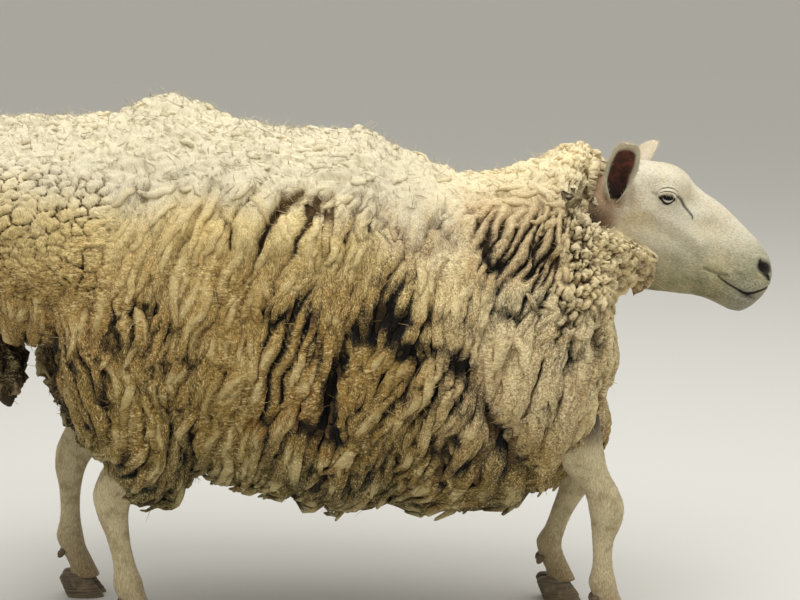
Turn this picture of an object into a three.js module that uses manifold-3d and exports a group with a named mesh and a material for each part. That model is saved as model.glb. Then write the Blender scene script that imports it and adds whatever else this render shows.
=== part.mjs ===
// A life-size ewe in long, unshorn fleece, walking: a still model in the style of a museum mount.
//
// Frame: millimetres, +X towards the nose, +Y towards the animal's left, +Z up. The origin is on the
// floor, under the middle of the whole animal.
//
// The fleece's outer surface, the head and the lower legs are skinned through rings. The trunk, neck
// and head are joined to one body and parted again with thin cuts; legs, tail, ears and eyes are
// trimmed where they meet it, so that every part is a solid of its own and none overlap.

import * as THREE from 'three';
import { LoftGeometry } from 'three/addons/geometries/LoftGeometry.js';
import { mergeVertices } from 'three/addons/utils/BufferGeometryUtils.js';
import Module from 'manifold-3d';

const wasm = await Module();
wasm.setup();

// ---------------------------------------------------------------- driving dimensions

const GAP = 0.3; // clearance between neighbouring parts
const CENTRE_X = - 3.9; // where the middle of the animal lies in the tables' own X

// The trunk's fleece, by station: place along the body, heights of the back and of the lowest wool,
// half width, and the height at which it is widest.
const TRUNK = [
	{ x: - 625, top: 786, bottom: 590, half: 200, wide: 672 },
	{ x: - 560, top: 804, bottom: 550, half: 236, wide: 630 },
	{ x: - 500, top: 806, bottom: 510, half: 258, wide: 590 },
	{ x: - 430, top: 804, bottom: 460, half: 272, wide: 555 },
	{ x: - 350, top: 804, bottom: 372, half: 282, wide: 515 },
	{ x: - 250, top: 802, bottom: 278, half: 289, wide: 485 },
	{ x: - 150, top: 794, bottom: 226, half: 290, wide: 472 },
	{ x: - 50, top: 782, bottom: 208, half: 288, wide: 462 },
	{ x: 30, top: 778, bottom: 206, half: 280, wide: 458 },
	{ x: 80, top: 748, bottom: 206, half: 272, wide: 455 },
	{ x: 150, top: 722, bottom: 208, half: 258, wide: 450 },
	{ x: 230, top: 690, bottom: 212, half: 238, wide: 440 },
	{ x: 300, top: 632, bottom: 220, half: 212, wide: 425 },
	{ x: 360, top: 560, bottom: 234, half: 184, wide: 405 },
	{ x: 412, top: 490, bottom: 252, half: 158, wide: 385 },
];
const RUMP_ROUNDING = 125; // length over which the rump closes
const CHEST_ROUNDING = 58; // length over which the chest closes
const TRUNK_RINGS = 28;
const TRUNK_SIDES = 32;
const TRUNK_POWER = { top: 2.3, bottom: 2.7 }; // 2 is an ellipse, more is boxier

// Raised tufts of fleece on the back: place, spread and height.
const TUFTS = [
	{ x: - 292, y: 30, z: 800, spreadX: 52, spreadY: 100, rise: 26 },
	{ x: - 232, y: 30, z: 800, spreadX: 62, spreadY: 100, rise: 24 },
	{ x: 346, y: 0, z: 762, spreadX: 26, spreadY: 46, rise: 12 },
];
const LUMP = { height: 5, length: 90 }; // the fleece's soft unevenness

// The neck's fleece, by ring: centre, upward tilt of the neck there, and reach up, down and sideways.
const NECK = [
	{ x: 60, z: 540, tilt: 5, up: 180, down: 200, half: 225 },
	{ x: 160, z: 556, tilt: 10, up: 162, down: 190, half: 202 },
	{ x: 240, z: 573, tilt: 14, up: 140, down: 175, half: 176 },
	{ x: 310, z: 594, tilt: 18, up: 144, down: 150, half: 153 },
	{ x: 365, z: 612, tilt: 20, up: 148, down: 122, half: 131 },
	{ x: 408, z: 627, tilt: 20, up: 128, down: 101, half: 110 },
	{ x: 430, z: 635, tilt: 20, up: 104, down: 93, half: 99 },
	{ x: 450, z: 642, tilt: 20, up: 72, down: 86, half: 88 },
];
const NECK_ROUNDING = 34;

// The head: the frame that its rings are given in, then the rings. `along` runs from the skull to the
// lips, `top` and `bottom` are the profile above and below that line, `wide` the height of the widest
// line, and the two powers say how boxy the upper and lower halves are.
const HEAD = { x: 408, y: 6, z: 638, pitch: 19.8, yaw: 10 };
const HEAD_RINGS = [
	{ along: - 52, top: 40, bottom: - 28, half: 26, wide: 0, upper: 2, lower: 2 },
	{ along: - 40, top: 74, bottom: - 52, half: 44, wide: 8, upper: 2, lower: 2 },
	{ along: - 18, top: 95, bottom: - 74, half: 54, wide: 20, upper: 2.2, lower: 2 },
	{ along: 6, top: 105, bottom: - 86, half: 57, wide: 30, upper: 2.5, lower: 1.9 },
	{ along: 28, top: 110, bottom: - 92, half: 59, wide: 44, upper: 2.7, lower: 1.8 },
	{ along: 50, top: 114, bottom: - 90, half: 62, wide: 56, upper: 2.8, lower: 1.75 },
	{ along: 66, top: 114, bottom: - 85, half: 65, wide: 62, upper: 2.8, lower: 1.7 },
	{ along: 82, top: 108, bottom: - 80, half: 62, wide: 54, upper: 2.7, lower: 1.75 },
	{ along: 98, top: 99, bottom: - 76, half: 56, wide: 36, upper: 2.5, lower: 1.8 },
	{ along: 116, top: 93, bottom: - 71, half: 50, wide: 22, upper: 2.3, lower: 1.9 },
	{ along: 137, top: 88, bottom: - 66, half: 45, wide: 14, upper: 2.2, lower: 2 },
	{ along: 156, top: 82, bottom: - 61, half: 41, wide: 8, upper: 2.1, lower: 2.1 },
	{ along: 178, top: 72, bottom: - 59, half: 38, wide: 2, upper: 2.1, lower: 2.2 },
	{ along: 199, top: 62, bottom: - 60, half: 36, wide: - 3, upper: 2.2, lower: 2.3 },
	{ along: 219, top: 52, bottom: - 61, half: 35, wide: - 6, upper: 2.3, lower: 2.4 },
	{ along: 234, top: 42, bottom: - 56, half: 34, wide: - 6, upper: 2.4, lower: 2.4 },
	{ along: 245, top: 32, bottom: - 43, half: 31, wide: - 5, upper: 2.4, lower: 2.3 },
	{ along: 253, top: 21, bottom: - 29, half: 25, wide: - 4, upper: 2.3, lower: 2.2 },
	{ along: 258, top: 9, bottom: - 15, half: 13, wide: - 2, upper: 2, lower: 2 },
];
const HEAD_SIDES = 28;

// An ear is a cupped leaf: its place and the way it points in the head's frame, which way the cup
// opens, and its sizes.
const EAR = { length: 118, width: 26, cup: 14, wall: 4.5, bend: 9, rings: 9, arc: 8 };
const EARS = {
	ear_right: { along: - 12, up: 36, out: 47, point: [ 0.01, 0.79, 0.61 ], open: [ 0.3, - 0.3, 0.9 ] },
	ear_left: { along: - 8, up: 48, out: 47, point: [ 0.24, 0.64, 0.73 ], open: [ 0.72, - 0.3, 0.62 ] },
};

const EYE = { along: 66, up: 73, out: 56.5, radius: 13.5 };

// Legs, by ring: centre, reach fore-and-aft and sideways. `side` is the distance of the leg from the
// middle of the body, and the sign of it comes from the leg's side.
const FORELEG_RIGHT = [
	{ x: 318, z: 420, side: 118, fore: 66, across: 52 },
	{ x: 330, z: 350, side: 118, fore: 58, across: 48 },
	{ x: 352, z: 300, side: 116, fore: 42, across: 40 },
	{ x: 376, z: 262, side: 114, fore: 25, across: 26 },
	{ x: 388, z: 238, side: 112, fore: 26, across: 26 },
	{ x: 395, z: 215, side: 111, fore: 28, across: 27 },
	{ x: 395, z: 194, side: 110, fore: 25, across: 23 },
	{ x: 391, z: 165, side: 109, fore: 18, across: 16 },
	{ x: 391, z: 122, side: 108, fore: 17, across: 16 },
	{ x: 391, z: 98, side: 108, fore: 22, across: 21 },
	{ x: 398, z: 76, side: 108, fore: 20, across: 20 },
	{ x: 408, z: 54, side: 108, fore: 20, across: 21 },
	{ x: 414, z: 34, side: 108, fore: 25, across: 23 },
];
const FORELEG_LEFT = [
	{ x: 318, z: 420, side: 118, fore: 66, across: 52 },
	{ x: 336, z: 350, side: 118, fore: 56, across: 48 },
	{ x: 352, z: 300, side: 115, fore: 40, across: 38 },
	{ x: 370, z: 258, side: 112, fore: 28, across: 27 },
	{ x: 378, z: 230, side: 111, fore: 28, across: 27 },
	{ x: 375, z: 206, side: 110, fore: 28, across: 27 },
	{ x: 361, z: 178, side: 109, fore: 22, across: 20 },
	{ x: 348, z: 150, side: 108, fore: 18.5, across: 16 },
	{ x: 336, z: 118, side: 108, fore: 18, across: 16 },
	{ x: 327, z: 96, side: 107, fore: 22, across: 21 },
	{ x: 332, z: 74, side: 107, fore: 20, across: 20 },
	{ x: 341, z: 53, side: 107, fore: 20, across: 21 },
	{ x: 347, z: 34, side: 107, fore: 25, across: 23 },
];
const HINDLEG_RIGHT = [
	{ x: - 330, z: 600, side: 140, fore: 170, across: 120 },
	{ x: - 318, z: 520, side: 150, fore: 150, across: 126 },
	{ x: - 305, z: 440, side: 158, fore: 128, across: 120 },
	{ x: - 296, z: 370, side: 160, fore: 115, across: 110 },
	{ x: - 300, z: 312, side: 158, fore: 105, across: 94 },
	{ x: - 312, z: 276, side: 152, fore: 84, across: 74 },
	{ x: - 330, z: 258, side: 145, fore: 54, across: 50 },
	{ x: - 346, z: 242, side: 138, fore: 33, across: 28 },
	{ x: - 350, z: 218, side: 134, fore: 26, across: 22 },
	{ x: - 344, z: 180, side: 132, fore: 19, across: 17 },
	{ x: - 335, z: 130, side: 130, fore: 18, across: 16.5 },
	{ x: - 330, z: 100, side: 130, fore: 23, across: 21 },
	{ x: - 322, z: 78, side: 130, fore: 20, across: 20 },
	{ x: - 312, z: 55, side: 130, fore: 20, across: 21 },
	{ x: - 306, z: 34, side: 130, fore: 25, across: 23 },
];
const HINDLEG_LEFT = [
	{ x: - 345, z: 600, side: 140, fore: 170, across: 120 },
	{ x: - 348, z: 520, side: 150, fore: 150, across: 126 },
	{ x: - 364, z: 440, side: 158, fore: 148, across: 120 },
	{ x: - 382, z: 370, side: 160, fore: 134, across: 108 },
	{ x: - 402, z: 315, side: 156, fore: 107, across: 90 },
	{ x: - 423, z: 280, side: 149, fore: 79, across: 70 },
	{ x: - 438, z: 260, side: 141, fore: 49, across: 47 },
	{ x: - 452, z: 243, side: 135, fore: 33, across: 28 },
	{ x: - 460, z: 220, side: 132, fore: 27, across: 22 },
	{ x: - 462, z: 180, side: 130, fore: 19, across: 17 },
	{ x: - 463, z: 130, side: 129, fore: 18, across: 16.5 },
	{ x: - 464, z: 100, side: 128, fore: 23, across: 21 },
	{ x: - 457, z: 78, side: 128, fore: 20, across: 20 },
	{ x: - 447, z: 55, side: 128, fore: 20, across: 21 },
	{ x: - 441, z: 34, side: 128, fore: 25, across: 23 },
];
const LEG_SIDES = 16;

// A foot's two claws: size of the sole, height at the toe, lean of the front wall, and the slit.
const CLAW = { length: 62, width: 23, height: 40, lean: 22, slit: 3, ahead: 3, sides: 12, rings: 4 };

const TAIL = [
	{ x: - 560, z: 730, fore: 60, across: 66 },
	{ x: - 592, z: 660, fore: 66, across: 80 },
	{ x: - 594, z: 580, fore: 66, across: 84 },
	{ x: - 574, z: 500, fore: 62, across: 76 },
	{ x: - 552, z: 430, fore: 57, across: 64 },
	{ x: - 538, z: 382, fore: 46, across: 48 },
	{ x: - 531, z: 356, fore: 27, across: 28 },
	{ x: - 529, z: 346, fore: 10, across: 10 },
];

// Where the thin cuts lie: a point on each and the angle that the cut leans back from upright.
const NECK_CUT = { x: 160, z: 730, lean: 42 };
const HEAD_CUT = { x: 398, z: 715, lean: 18 };

const COLOURS = {
	fleece: 0xd8c597, face: 0xd9d2b9, leg: 0xb5a782, horn: 0x4b4035, eye: 0x8d8674,
};

// ---------------------------------------------------------------- helpers

const rad = THREE.MathUtils.degToRad;
const powered = ( value, power ) => Math.sign( value ) * Math.abs( value ) ** power;

// A smooth curve through a table's rows: the value of one column at a place along it.
function column( rows, key, at, name ) {

	const last = rows.length - 1;
	const slope = ( i ) => {

		const before = rows[ Math.max( i - 1, 0 ) ];
		const after = rows[ Math.min( i + 1, last ) ];
		return ( after[ name ] - before[ name ] ) / ( after[ key ] - before[ key ] );

	};

	let i = 0;
	while ( i < last - 1 && at > rows[ i + 1 ][ key ] ) i ++;
	const from = rows[ i ];
	const to = rows[ i + 1 ];
	const span = to[ key ] - from[ key ];
	const t = THREE.MathUtils.clamp( ( at - from[ key ] ) / span, 0, 1 );
	const t2 = t * t;
	const t3 = t2 * t;
	return from[ name ] * ( 2 * t3 - 3 * t2 + 1 ) + slope( i ) * span * ( t3 - 2 * t2 + t )
		+ to[ name ] * ( 3 * t2 - 2 * t3 ) + slope( i + 1 ) * span * ( t3 - t2 );

}

// A geometry as a manifold-3d solid.
function solid( geometry ) {

	const bare = new THREE.BufferGeometry().copy( geometry ).deleteAttribute( 'normal' ).deleteAttribute( 'uv' );
	const merged = mergeVertices( bare, 1e-4 );
	return new wasm.Manifold( new wasm.Mesh( {
		numProp: 3,
		vertProperties: new Float32Array( merged.attributes.position.array ),
		triVerts: new Uint32Array( merged.index.array ),
	} ) );

}

// Skins a closed body through rings of points.
const skinned = ( rings ) => solid( new LoftGeometry( rings, { capStart: true, capEnd: true } ) );

// The largest of the separate bodies that a cut has left.
const largest = ( body ) => body.decompose().reduce( ( a, b ) => ( a.volume() > b.volume() ? a : b ) );

// A ring with different reach up, down and sideways. `place` takes sideways and upward distances.
function ring( sides, half, up, down, upper, lower, place ) {

	return Array.from( { length: sides }, ( _, i ) => {

		const angle = ( i + 0.5 ) / sides * Math.PI * 2;
		const power = 2 / ( Math.sin( angle ) > 0 ? upper : lower );
		const across = powered( Math.cos( angle ), power ) * half;
		const high = powered( Math.sin( angle ), power ) * ( Math.sin( angle ) > 0 ? up : down );
		return place( across, high );

	} );

}

// How far a body has closed at a distance from its end: 0 at the end, 1 from `length` on.
function closing( distance, length ) {

	const t = THREE.MathUtils.clamp( 1 - distance / length, 0, 1 );
	return ( 1 - t ** 2.6 ) ** ( 1 / 2.6 );

}

// ---------------------------------------------------------------- trunk and neck

// Moves a point of the fleece's surface out by its soft lumps and by the raised tufts.
function relief( point, outward ) {

	const { x, y, z } = point;
	const wave = 2 * Math.PI / LUMP.length;
	const along = Math.sin( wave * x + 1.3 * Math.sin( wave * 0.7 * z ) );
	let rise = LUMP.height * along * Math.cos( wave * 0.8 * z + 0.02 * y );
	for ( const t of TUFTS ) {

		const flat = ( ( x - t.x ) / t.spreadX ) ** 2 + ( ( y - t.y ) / t.spreadY ) ** 2;
		rise += t.rise * Math.exp( - flat - ( ( z - t.z ) / 60 ) ** 2 );

	}

	return point.addScaledVector( outward, rise );

}

function trunk( grow ) {

	const first = TRUNK[ 0 ].x;
	const last = TRUNK[ TRUNK.length - 1 ].x;
	const rings = [];
	for ( let i = 0; i <= TRUNK_RINGS; i ++ ) {

		// the rings crowd together towards both ends, where the body closes
		const t = i / TRUNK_RINGS;
		const x = THREE.MathUtils.lerp( first + 1, last - 1, t - 0.1 * Math.sin( 2 * Math.PI * t ) );
		const at = ( name ) => column( TRUNK, 'x', x, name );
		const end = closing( x - first, RUMP_ROUNDING ) * closing( last - x, CHEST_ROUNDING );
		const wide = at( 'wide' );
		rings.push( ring(
			TRUNK_SIDES,
			at( 'half' ) * end + grow, ( at( 'top' ) - wide ) * end + grow, ( wide - at( 'bottom' ) ) * end + grow,
			TRUNK_POWER.top, TRUNK_POWER.bottom,
			( across, high ) => relief(
				new THREE.Vector3( x, across, wide + high ),
				new THREE.Vector3( 0, across, high ).normalize().multiplyScalar( end ),
			),
		) );

	}

	rings[ 0 ].forEach( ( p ) => ( p.x -= grow ) );
	rings[ TRUNK_RINGS ].forEach( ( p ) => ( p.x += grow ) );
	return skinned( rings );

}

function neck() {

	const rings = [];
	const steps = 14;
	const first = NECK[ 0 ].x;
	const last = NECK[ NECK.length - 1 ].x;
	for ( let i = 0; i <= steps; i ++ ) {

		const x = THREE.MathUtils.lerp( first, last - 0.5, Math.sin( i / steps * Math.PI / 2 ) );
		const at = ( name ) => column( NECK, 'x', x, name );
		const end = Math.max( closing( last - x, NECK_ROUNDING ), 0.3 );
		const tilt = rad( at( 'tilt' ) );
		rings.push( ring(
			TRUNK_SIDES, at( 'half' ) * end, at( 'up' ) * end, at( 'down' ) * end, 2.1, 2.2,
			( across, high ) => relief(
				new THREE.Vector3( x - high * Math.sin( tilt ), across, at( 'z' ) + high * Math.cos( tilt ) ),
				new THREE.Vector3( 0, across, high ).normalize().multiplyScalar( end ),
			),
		) );

	}

	return skinned( rings );

}

// ---------------------------------------------------------------- head, ears and eyes

// The head's frame: x runs along the head, y to its left and z up from it.
const headFrame = new THREE.Matrix4()
	.makeTranslation( HEAD.x, HEAD.y, HEAD.z )
	.multiply( new THREE.Matrix4().makeRotationZ( - rad( HEAD.yaw ) ) )
	.multiply( new THREE.Matrix4().makeRotationY( rad( HEAD.pitch ) ) );
const inHead = ( along, left, up ) => new THREE.Vector3( along, left, up ).applyMatrix4( headFrame );

function head( grow ) {

	return skinned( HEAD_RINGS.map( ( r ) => ring(
		HEAD_SIDES, r.half + grow, r.top - r.wide + grow, r.wide - r.bottom + grow, r.upper, r.lower,
		( across, high ) => inHead( r.along, across, r.wide + high ),
	) ) );

}

// A cupped leaf. Each ring is a crescent: an outer arc, then an inner arc back, which lies proud of
// the opening below the notch, where the ear is a closed stalk.
function ear( place, side ) {

	const root = new THREE.Vector3( place.along, place.out * side, place.up );
	const point = new THREE.Vector3( place.point[ 0 ], place.point[ 2 ] * side, place.point[ 1 ] ).normalize();
	const open = new THREE.Vector3( place.open[ 0 ], place.open[ 2 ] * side, place.open[ 1 ] );
	open.addScaledVector( point, - open.dot( point ) ).normalize();
	const across = new THREE.Vector3().crossVectors( point, open );
	const rings = [];
	for ( let i = 0; i <= EAR.rings; i ++ ) {

		const t = i / EAR.rings;
		const leaf = Math.max( Math.sin( Math.PI * ( 0.16 + 0.84 * t ) ) ** 0.38, 0.22 );
		const half = EAR.width * THREE.MathUtils.lerp( 0.72, leaf, THREE.MathUtils.smoothstep( t, 0, 0.5 ) );
		const depth = EAR.cup * THREE.MathUtils.lerp( 1.25, 0.35, t );
		const opened = THREE.MathUtils.smoothstep( t, 0.1, 0.34 );
		const hollow = THREE.MathUtils.lerp( - 0.7 * depth, depth - EAR.wall, opened );
		const centre = root.clone().addScaledVector( point, t * EAR.length );
		centre.addScaledVector( open, - EAR.bend * t * t );
		const points = [];
		for ( let k = 0; k <= EAR.arc; k ++ ) {

			const angle = k / EAR.arc * Math.PI;
			points.push( centre.clone().addScaledVector( across, Math.cos( angle ) * half )
				.addScaledVector( open, - Math.sin( angle ) * depth ) );

		}

		for ( let k = EAR.arc - 1; k > 0; k -- ) {

			const angle = k / EAR.arc * Math.PI;
			points.push( centre.clone().addScaledVector( across, Math.cos( angle ) * ( half - EAR.wall * 0.5 ) )
				.addScaledVector( open, - Math.sin( angle ) * hollow ) );

		}

		rings.push( points.map( ( p ) => p.applyMatrix4( headFrame ) ) );

	}

	return skinned( rings );

}

function eye( side, grow ) {

	const ball = new THREE.SphereGeometry( EYE.radius + grow, 16, 10 );
	const centre = inHead( EYE.along, EYE.out * side, EYE.up );
	return solid( ball.translate( centre.x, centre.y, centre.z ) );

}

// ---------------------------------------------------------------- legs, claws and tail

// A limb through rings that stand square to its own line, except the first and last, which are level.
function limb( rows, side, sides ) {

	return skinned( rows.map( ( r, i ) => {

		const before = rows[ Math.max( i - 1, 0 ) ];
		const after = rows[ Math.min( i + 1, rows.length - 1 ) ];
		const level = i === 0 || i === rows.length - 1;
		const lean = level ? 0 : Math.atan2( after.x - before.x, before.z - after.z ) * 0.8;
		return Array.from( { length: sides }, ( _, k ) => {

			const angle = ( k + 0.5 ) / sides * Math.PI * 2;
			const fore = powered( Math.cos( angle ), 0.88 ) * r.fore;
			return new THREE.Vector3(
				r.x + fore * Math.cos( lean ),
				side * ( r.side ?? 0 ) - powered( Math.sin( angle ), 0.88 ) * r.across,
				r.z + fore * Math.sin( lean ),
			);

		} );

	} ) );

}

// One claw: a flat sole shaped like half a pear, whose walls lean back towards the coronet.
function claw( foot, side, inner, grow ) {

	const rings = [];
	const middle = side * foot.side + ( inner ? - 1 : 1 ) * side * ( CLAW.width + CLAW.slit ) / 2;
	for ( let i = 0; i <= CLAW.rings; i ++ ) {

		const t = i / CLAW.rings;
		const crown = t < 0.75 ? 1 : 1 - 0.35 * ( ( t - 0.75 ) * 4 ) ** 2;
		const length = ( CLAW.length - 13 * t ) * crown / 2 + grow;
		const width = ( CLAW.width - 2 * t ) * crown / 2 + grow;
		const z = CLAW.height * t + ( i === 0 ? - grow : i === CLAW.rings ? grow : 0 );
		rings.push( Array.from( { length: CLAW.sides }, ( _, k ) => {

			const angle = k / CLAW.sides * Math.PI * 2;
			const narrow = 1 - 0.28 * Math.max( Math.cos( angle ), 0 ) ** 2;
			return new THREE.Vector3(
				foot.x + CLAW.ahead - CLAW.lean * t + powered( Math.cos( angle ), 0.85 ) * length,
				middle + powered( Math.sin( angle ), 0.85 ) * width * narrow,
				z,
			);

		} ) );

	}

	return skinned( rings );

}

// ---------------------------------------------------------------- the whole animal

const LEFT = 1;
const RIGHT = - 1;
const LEGS = {
	foreleg_right: { rows: FORELEG_RIGHT, side: RIGHT },
	foreleg_left: { rows: FORELEG_LEFT, side: LEFT },
	hindleg_right: { rows: HINDLEG_RIGHT, side: RIGHT },
	hindleg_left: { rows: HINDLEG_LEFT, side: LEFT },
};

// The part of a body behind (-1) or ahead (+1) of a leaning cut, less half the gap.
function beyond( body, cut, way ) {

	const normal = [ Math.cos( rad( cut.lean ) ) * way, 0, Math.sin( rad( cut.lean ) ) * way ];
	const offset = cut.x * normal[ 0 ] + cut.z * normal[ 2 ] + GAP / 2;
	return body.trimByPlane( normal, offset );

}

const parts = {};
const grown = trunk( GAP );
const whole = trunk( 0 ).add( neck() ).add( head( 0 ) );
const eyes = { eye_right: RIGHT, eye_left: LEFT };
let front = whole;
for ( const side of Object.values( eyes ) ) front = front.subtract( eye( side, GAP ) );

parts.trunk = beyond( front, NECK_CUT, - 1 );
parts.neck = beyond( beyond( front, NECK_CUT, 1 ), HEAD_CUT, - 1 );
parts.head = beyond( front, HEAD_CUT, 1 );
for ( const [ name, side ] of Object.entries( eyes ) ) parts[ name ] = eye( side, 0 );

const headSpace = head( GAP ).add( neck() );
for ( const [ name, place ] of Object.entries( EARS ) ) {

	const side = name.endsWith( 'left' ) ? LEFT : RIGHT;
	parts[ name ] = ear( place, side ).subtract( headSpace );

}

for ( const [ name, { rows, side } ] of Object.entries( LEGS ) ) {

	const foot = rows[ rows.length - 1 ];
	let leg = limb( rows, side, LEG_SIDES ).subtract( grown );
	for ( const inner of [ true, false ] ) {

		parts[ `claw_${ name }_${ inner ? 'inner' : 'outer' }` ] = claw( foot, side, inner, 0 );
		leg = leg.subtract( claw( foot, side, inner, GAP ) );

	}

	parts[ name ] = leg;

}

parts.tail = limb( TAIL, LEFT, LEG_SIDES ).subtract( grown );

function colourOf( name ) {

	if ( name.startsWith( 'claw' ) ) return COLOURS.horn;
	if ( name.startsWith( 'eye' ) ) return COLOURS.eye;
	if ( name.includes( 'leg' ) ) return COLOURS.leg;
	return name === 'head' || name.startsWith( 'ear' ) ? COLOURS.face : COLOURS.fleece;

}

const sheep = new THREE.Group();
for ( const [ name, body ] of Object.entries( parts ) ) {

	const { vertProperties, triVerts } = largest( body ).simplify( 0.05 ).getMesh();
	const geometry = new THREE.BufferGeometry()
		.setAttribute( 'position', new THREE.BufferAttribute( vertProperties, 3 ) )
		.setIndex( new THREE.BufferAttribute( triVerts, 1 ) );
	const glossy = name.startsWith( 'eye' );
	const mesh = new THREE.Mesh( geometry, new THREE.MeshStandardMaterial( {
		color: colourOf( name ), roughness: glossy ? 0.1 : name.startsWith( 'claw' ) ? 0.45 : 0.95, metalness: 0,
	} ) );
	mesh.name = name;
	sheep.add( mesh );

}

sheep.position.x = - CENTRE_X;

export default sheep;
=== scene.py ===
"""A life-size ewe in long, unshorn fleece: skin, eyes, claws, fleece, short hair and a plain studio.

Units are metres, +X towards the nose, +Y towards the animal's left, +Z up. Every shape is a surface
worked out with numpy: rings carried along the body, and locks and hairs that follow that surface.
"""

import math  # noqa: E402
from functools import lru_cache  # noqa: E402

import bpy  # noqa: E402
import numpy as np  # noqa: E402
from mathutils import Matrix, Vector  # noqa: E402


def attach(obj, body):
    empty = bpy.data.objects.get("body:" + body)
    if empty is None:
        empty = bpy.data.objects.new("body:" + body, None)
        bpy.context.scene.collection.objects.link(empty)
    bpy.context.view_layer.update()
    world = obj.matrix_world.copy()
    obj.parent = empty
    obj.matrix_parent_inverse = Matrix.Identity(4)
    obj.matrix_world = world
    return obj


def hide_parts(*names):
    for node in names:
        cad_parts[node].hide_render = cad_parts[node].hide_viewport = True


bl_info = {
    "name": "Woolly ewe",
    "version": (1, 0, 0),
    "blender": (4, 5, 0),
    "location": "View3D > Sidebar > Ewe",
    "description": "Skin, fleece, hair, eyes and claws of a life-size ewe",
    "category": "Object",
}

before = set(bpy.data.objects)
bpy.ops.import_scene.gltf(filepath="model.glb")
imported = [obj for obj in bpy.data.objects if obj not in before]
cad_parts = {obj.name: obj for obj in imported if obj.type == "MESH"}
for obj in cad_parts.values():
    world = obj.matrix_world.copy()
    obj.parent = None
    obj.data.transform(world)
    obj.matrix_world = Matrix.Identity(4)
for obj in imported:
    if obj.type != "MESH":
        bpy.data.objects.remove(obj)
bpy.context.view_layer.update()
SHIFT = np.array([0.0039, 0.0, 0.0])  # from the tables' X to the frame's
TAU = 2 * math.pi

# ---------------------------------------------------------------- tables of sizes

# Fleece, by ring: top x, z; bottom x, z; half width; height of the widest line from bottom to top
# (0 to 1); power above; power below. Rings fan out round the shoulder.
FLEECE = np.array(
    [
        (-0.627, 0.682, -0.627, 0.660, 0.020, 0.5, 2.0, 2.0),
        (-0.622, 0.722, -0.621, 0.628, 0.085, 0.5, 2.1, 2.1),
        (-0.606, 0.757, -0.604, 0.594, 0.152, 0.5, 2.2, 2.2),
        (-0.574, 0.786, -0.570, 0.540, 0.212, 0.5, 2.3, 2.3),
        (-0.520, 0.801, -0.512, 0.486, 0.249, 0.48, 2.3, 2.4),
        (-0.430, 0.803, -0.428, 0.438, 0.270, 0.38, 2.3, 2.6),
        (-0.345, 0.803, -0.345, 0.366, 0.281, 0.34, 2.3, 2.7),
        (-0.250, 0.801, -0.250, 0.282, 0.287, 0.38, 2.3, 2.7),
        (-0.150, 0.794, -0.150, 0.232, 0.290, 0.43, 2.3, 2.7),
        (-0.050, 0.782, -0.045, 0.214, 0.288, 0.44, 2.3, 2.7),
        (0.030, 0.776, 0.040, 0.210, 0.280, 0.44, 2.3, 2.7),
        (0.080, 0.749, 0.120, 0.210, 0.270, 0.45, 2.3, 2.7),
        (0.135, 0.727, 0.200, 0.214, 0.257, 0.45, 2.3, 2.6),
        (0.190, 0.715, 0.275, 0.224, 0.241, 0.46, 2.25, 2.6),
        (0.232, 0.717, 0.335, 0.242, 0.225, 0.47, 2.2, 2.5),
        (0.266, 0.728, 0.378, 0.276, 0.210, 0.48, 2.2, 2.4),
        (0.292, 0.740, 0.400, 0.330, 0.196, 0.49, 2.15, 2.3),
        (0.314, 0.750, 0.407, 0.392, 0.182, 0.50, 2.1, 2.2),
        (0.333, 0.758, 0.404, 0.450, 0.166, 0.50, 2.1, 2.1),
        (0.350, 0.761, 0.396, 0.496, 0.149, 0.50, 2.1, 2.1),
        (0.368, 0.757, 0.404, 0.521, 0.132, 0.50, 2.1, 2.1),
        (0.386, 0.747, 0.424, 0.531, 0.115, 0.49, 2.1, 2.1),
        (0.402, 0.735, 0.445, 0.538, 0.099, 0.48, 2.1, 2.1),
        (0.414, 0.722, 0.458, 0.546, 0.086, 0.48, 2.1, 2.1),
        (0.416, 0.706, 0.456, 0.562, 0.070, 0.48, 2.1, 2.1),
    ]
)
COAT_DEPTH = 0.052
# Raised tufts on the back: x, y, z, reach along, reach across, rise.
TUFTS = ((-0.292, 0.03, 0.80, 0.052, 0.10, 0.026), (-0.232, 0.03, 0.80, 0.062, 0.10, 0.024))

# The neck under the fleece, in the same terms as the fleece's rings.
NECK = np.array(
    [
        (0.140, 0.640, 0.270, 0.330, 0.135, 0.5, 2.2, 2.2),
        (0.240, 0.655, 0.335, 0.430, 0.112, 0.5, 2.2, 2.2),
        (0.310, 0.685, 0.352, 0.510, 0.090, 0.5, 2.2, 2.1),
        (0.362, 0.712, 0.356, 0.560, 0.070, 0.5, 2.2, 2.0),
    ]
)

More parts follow.
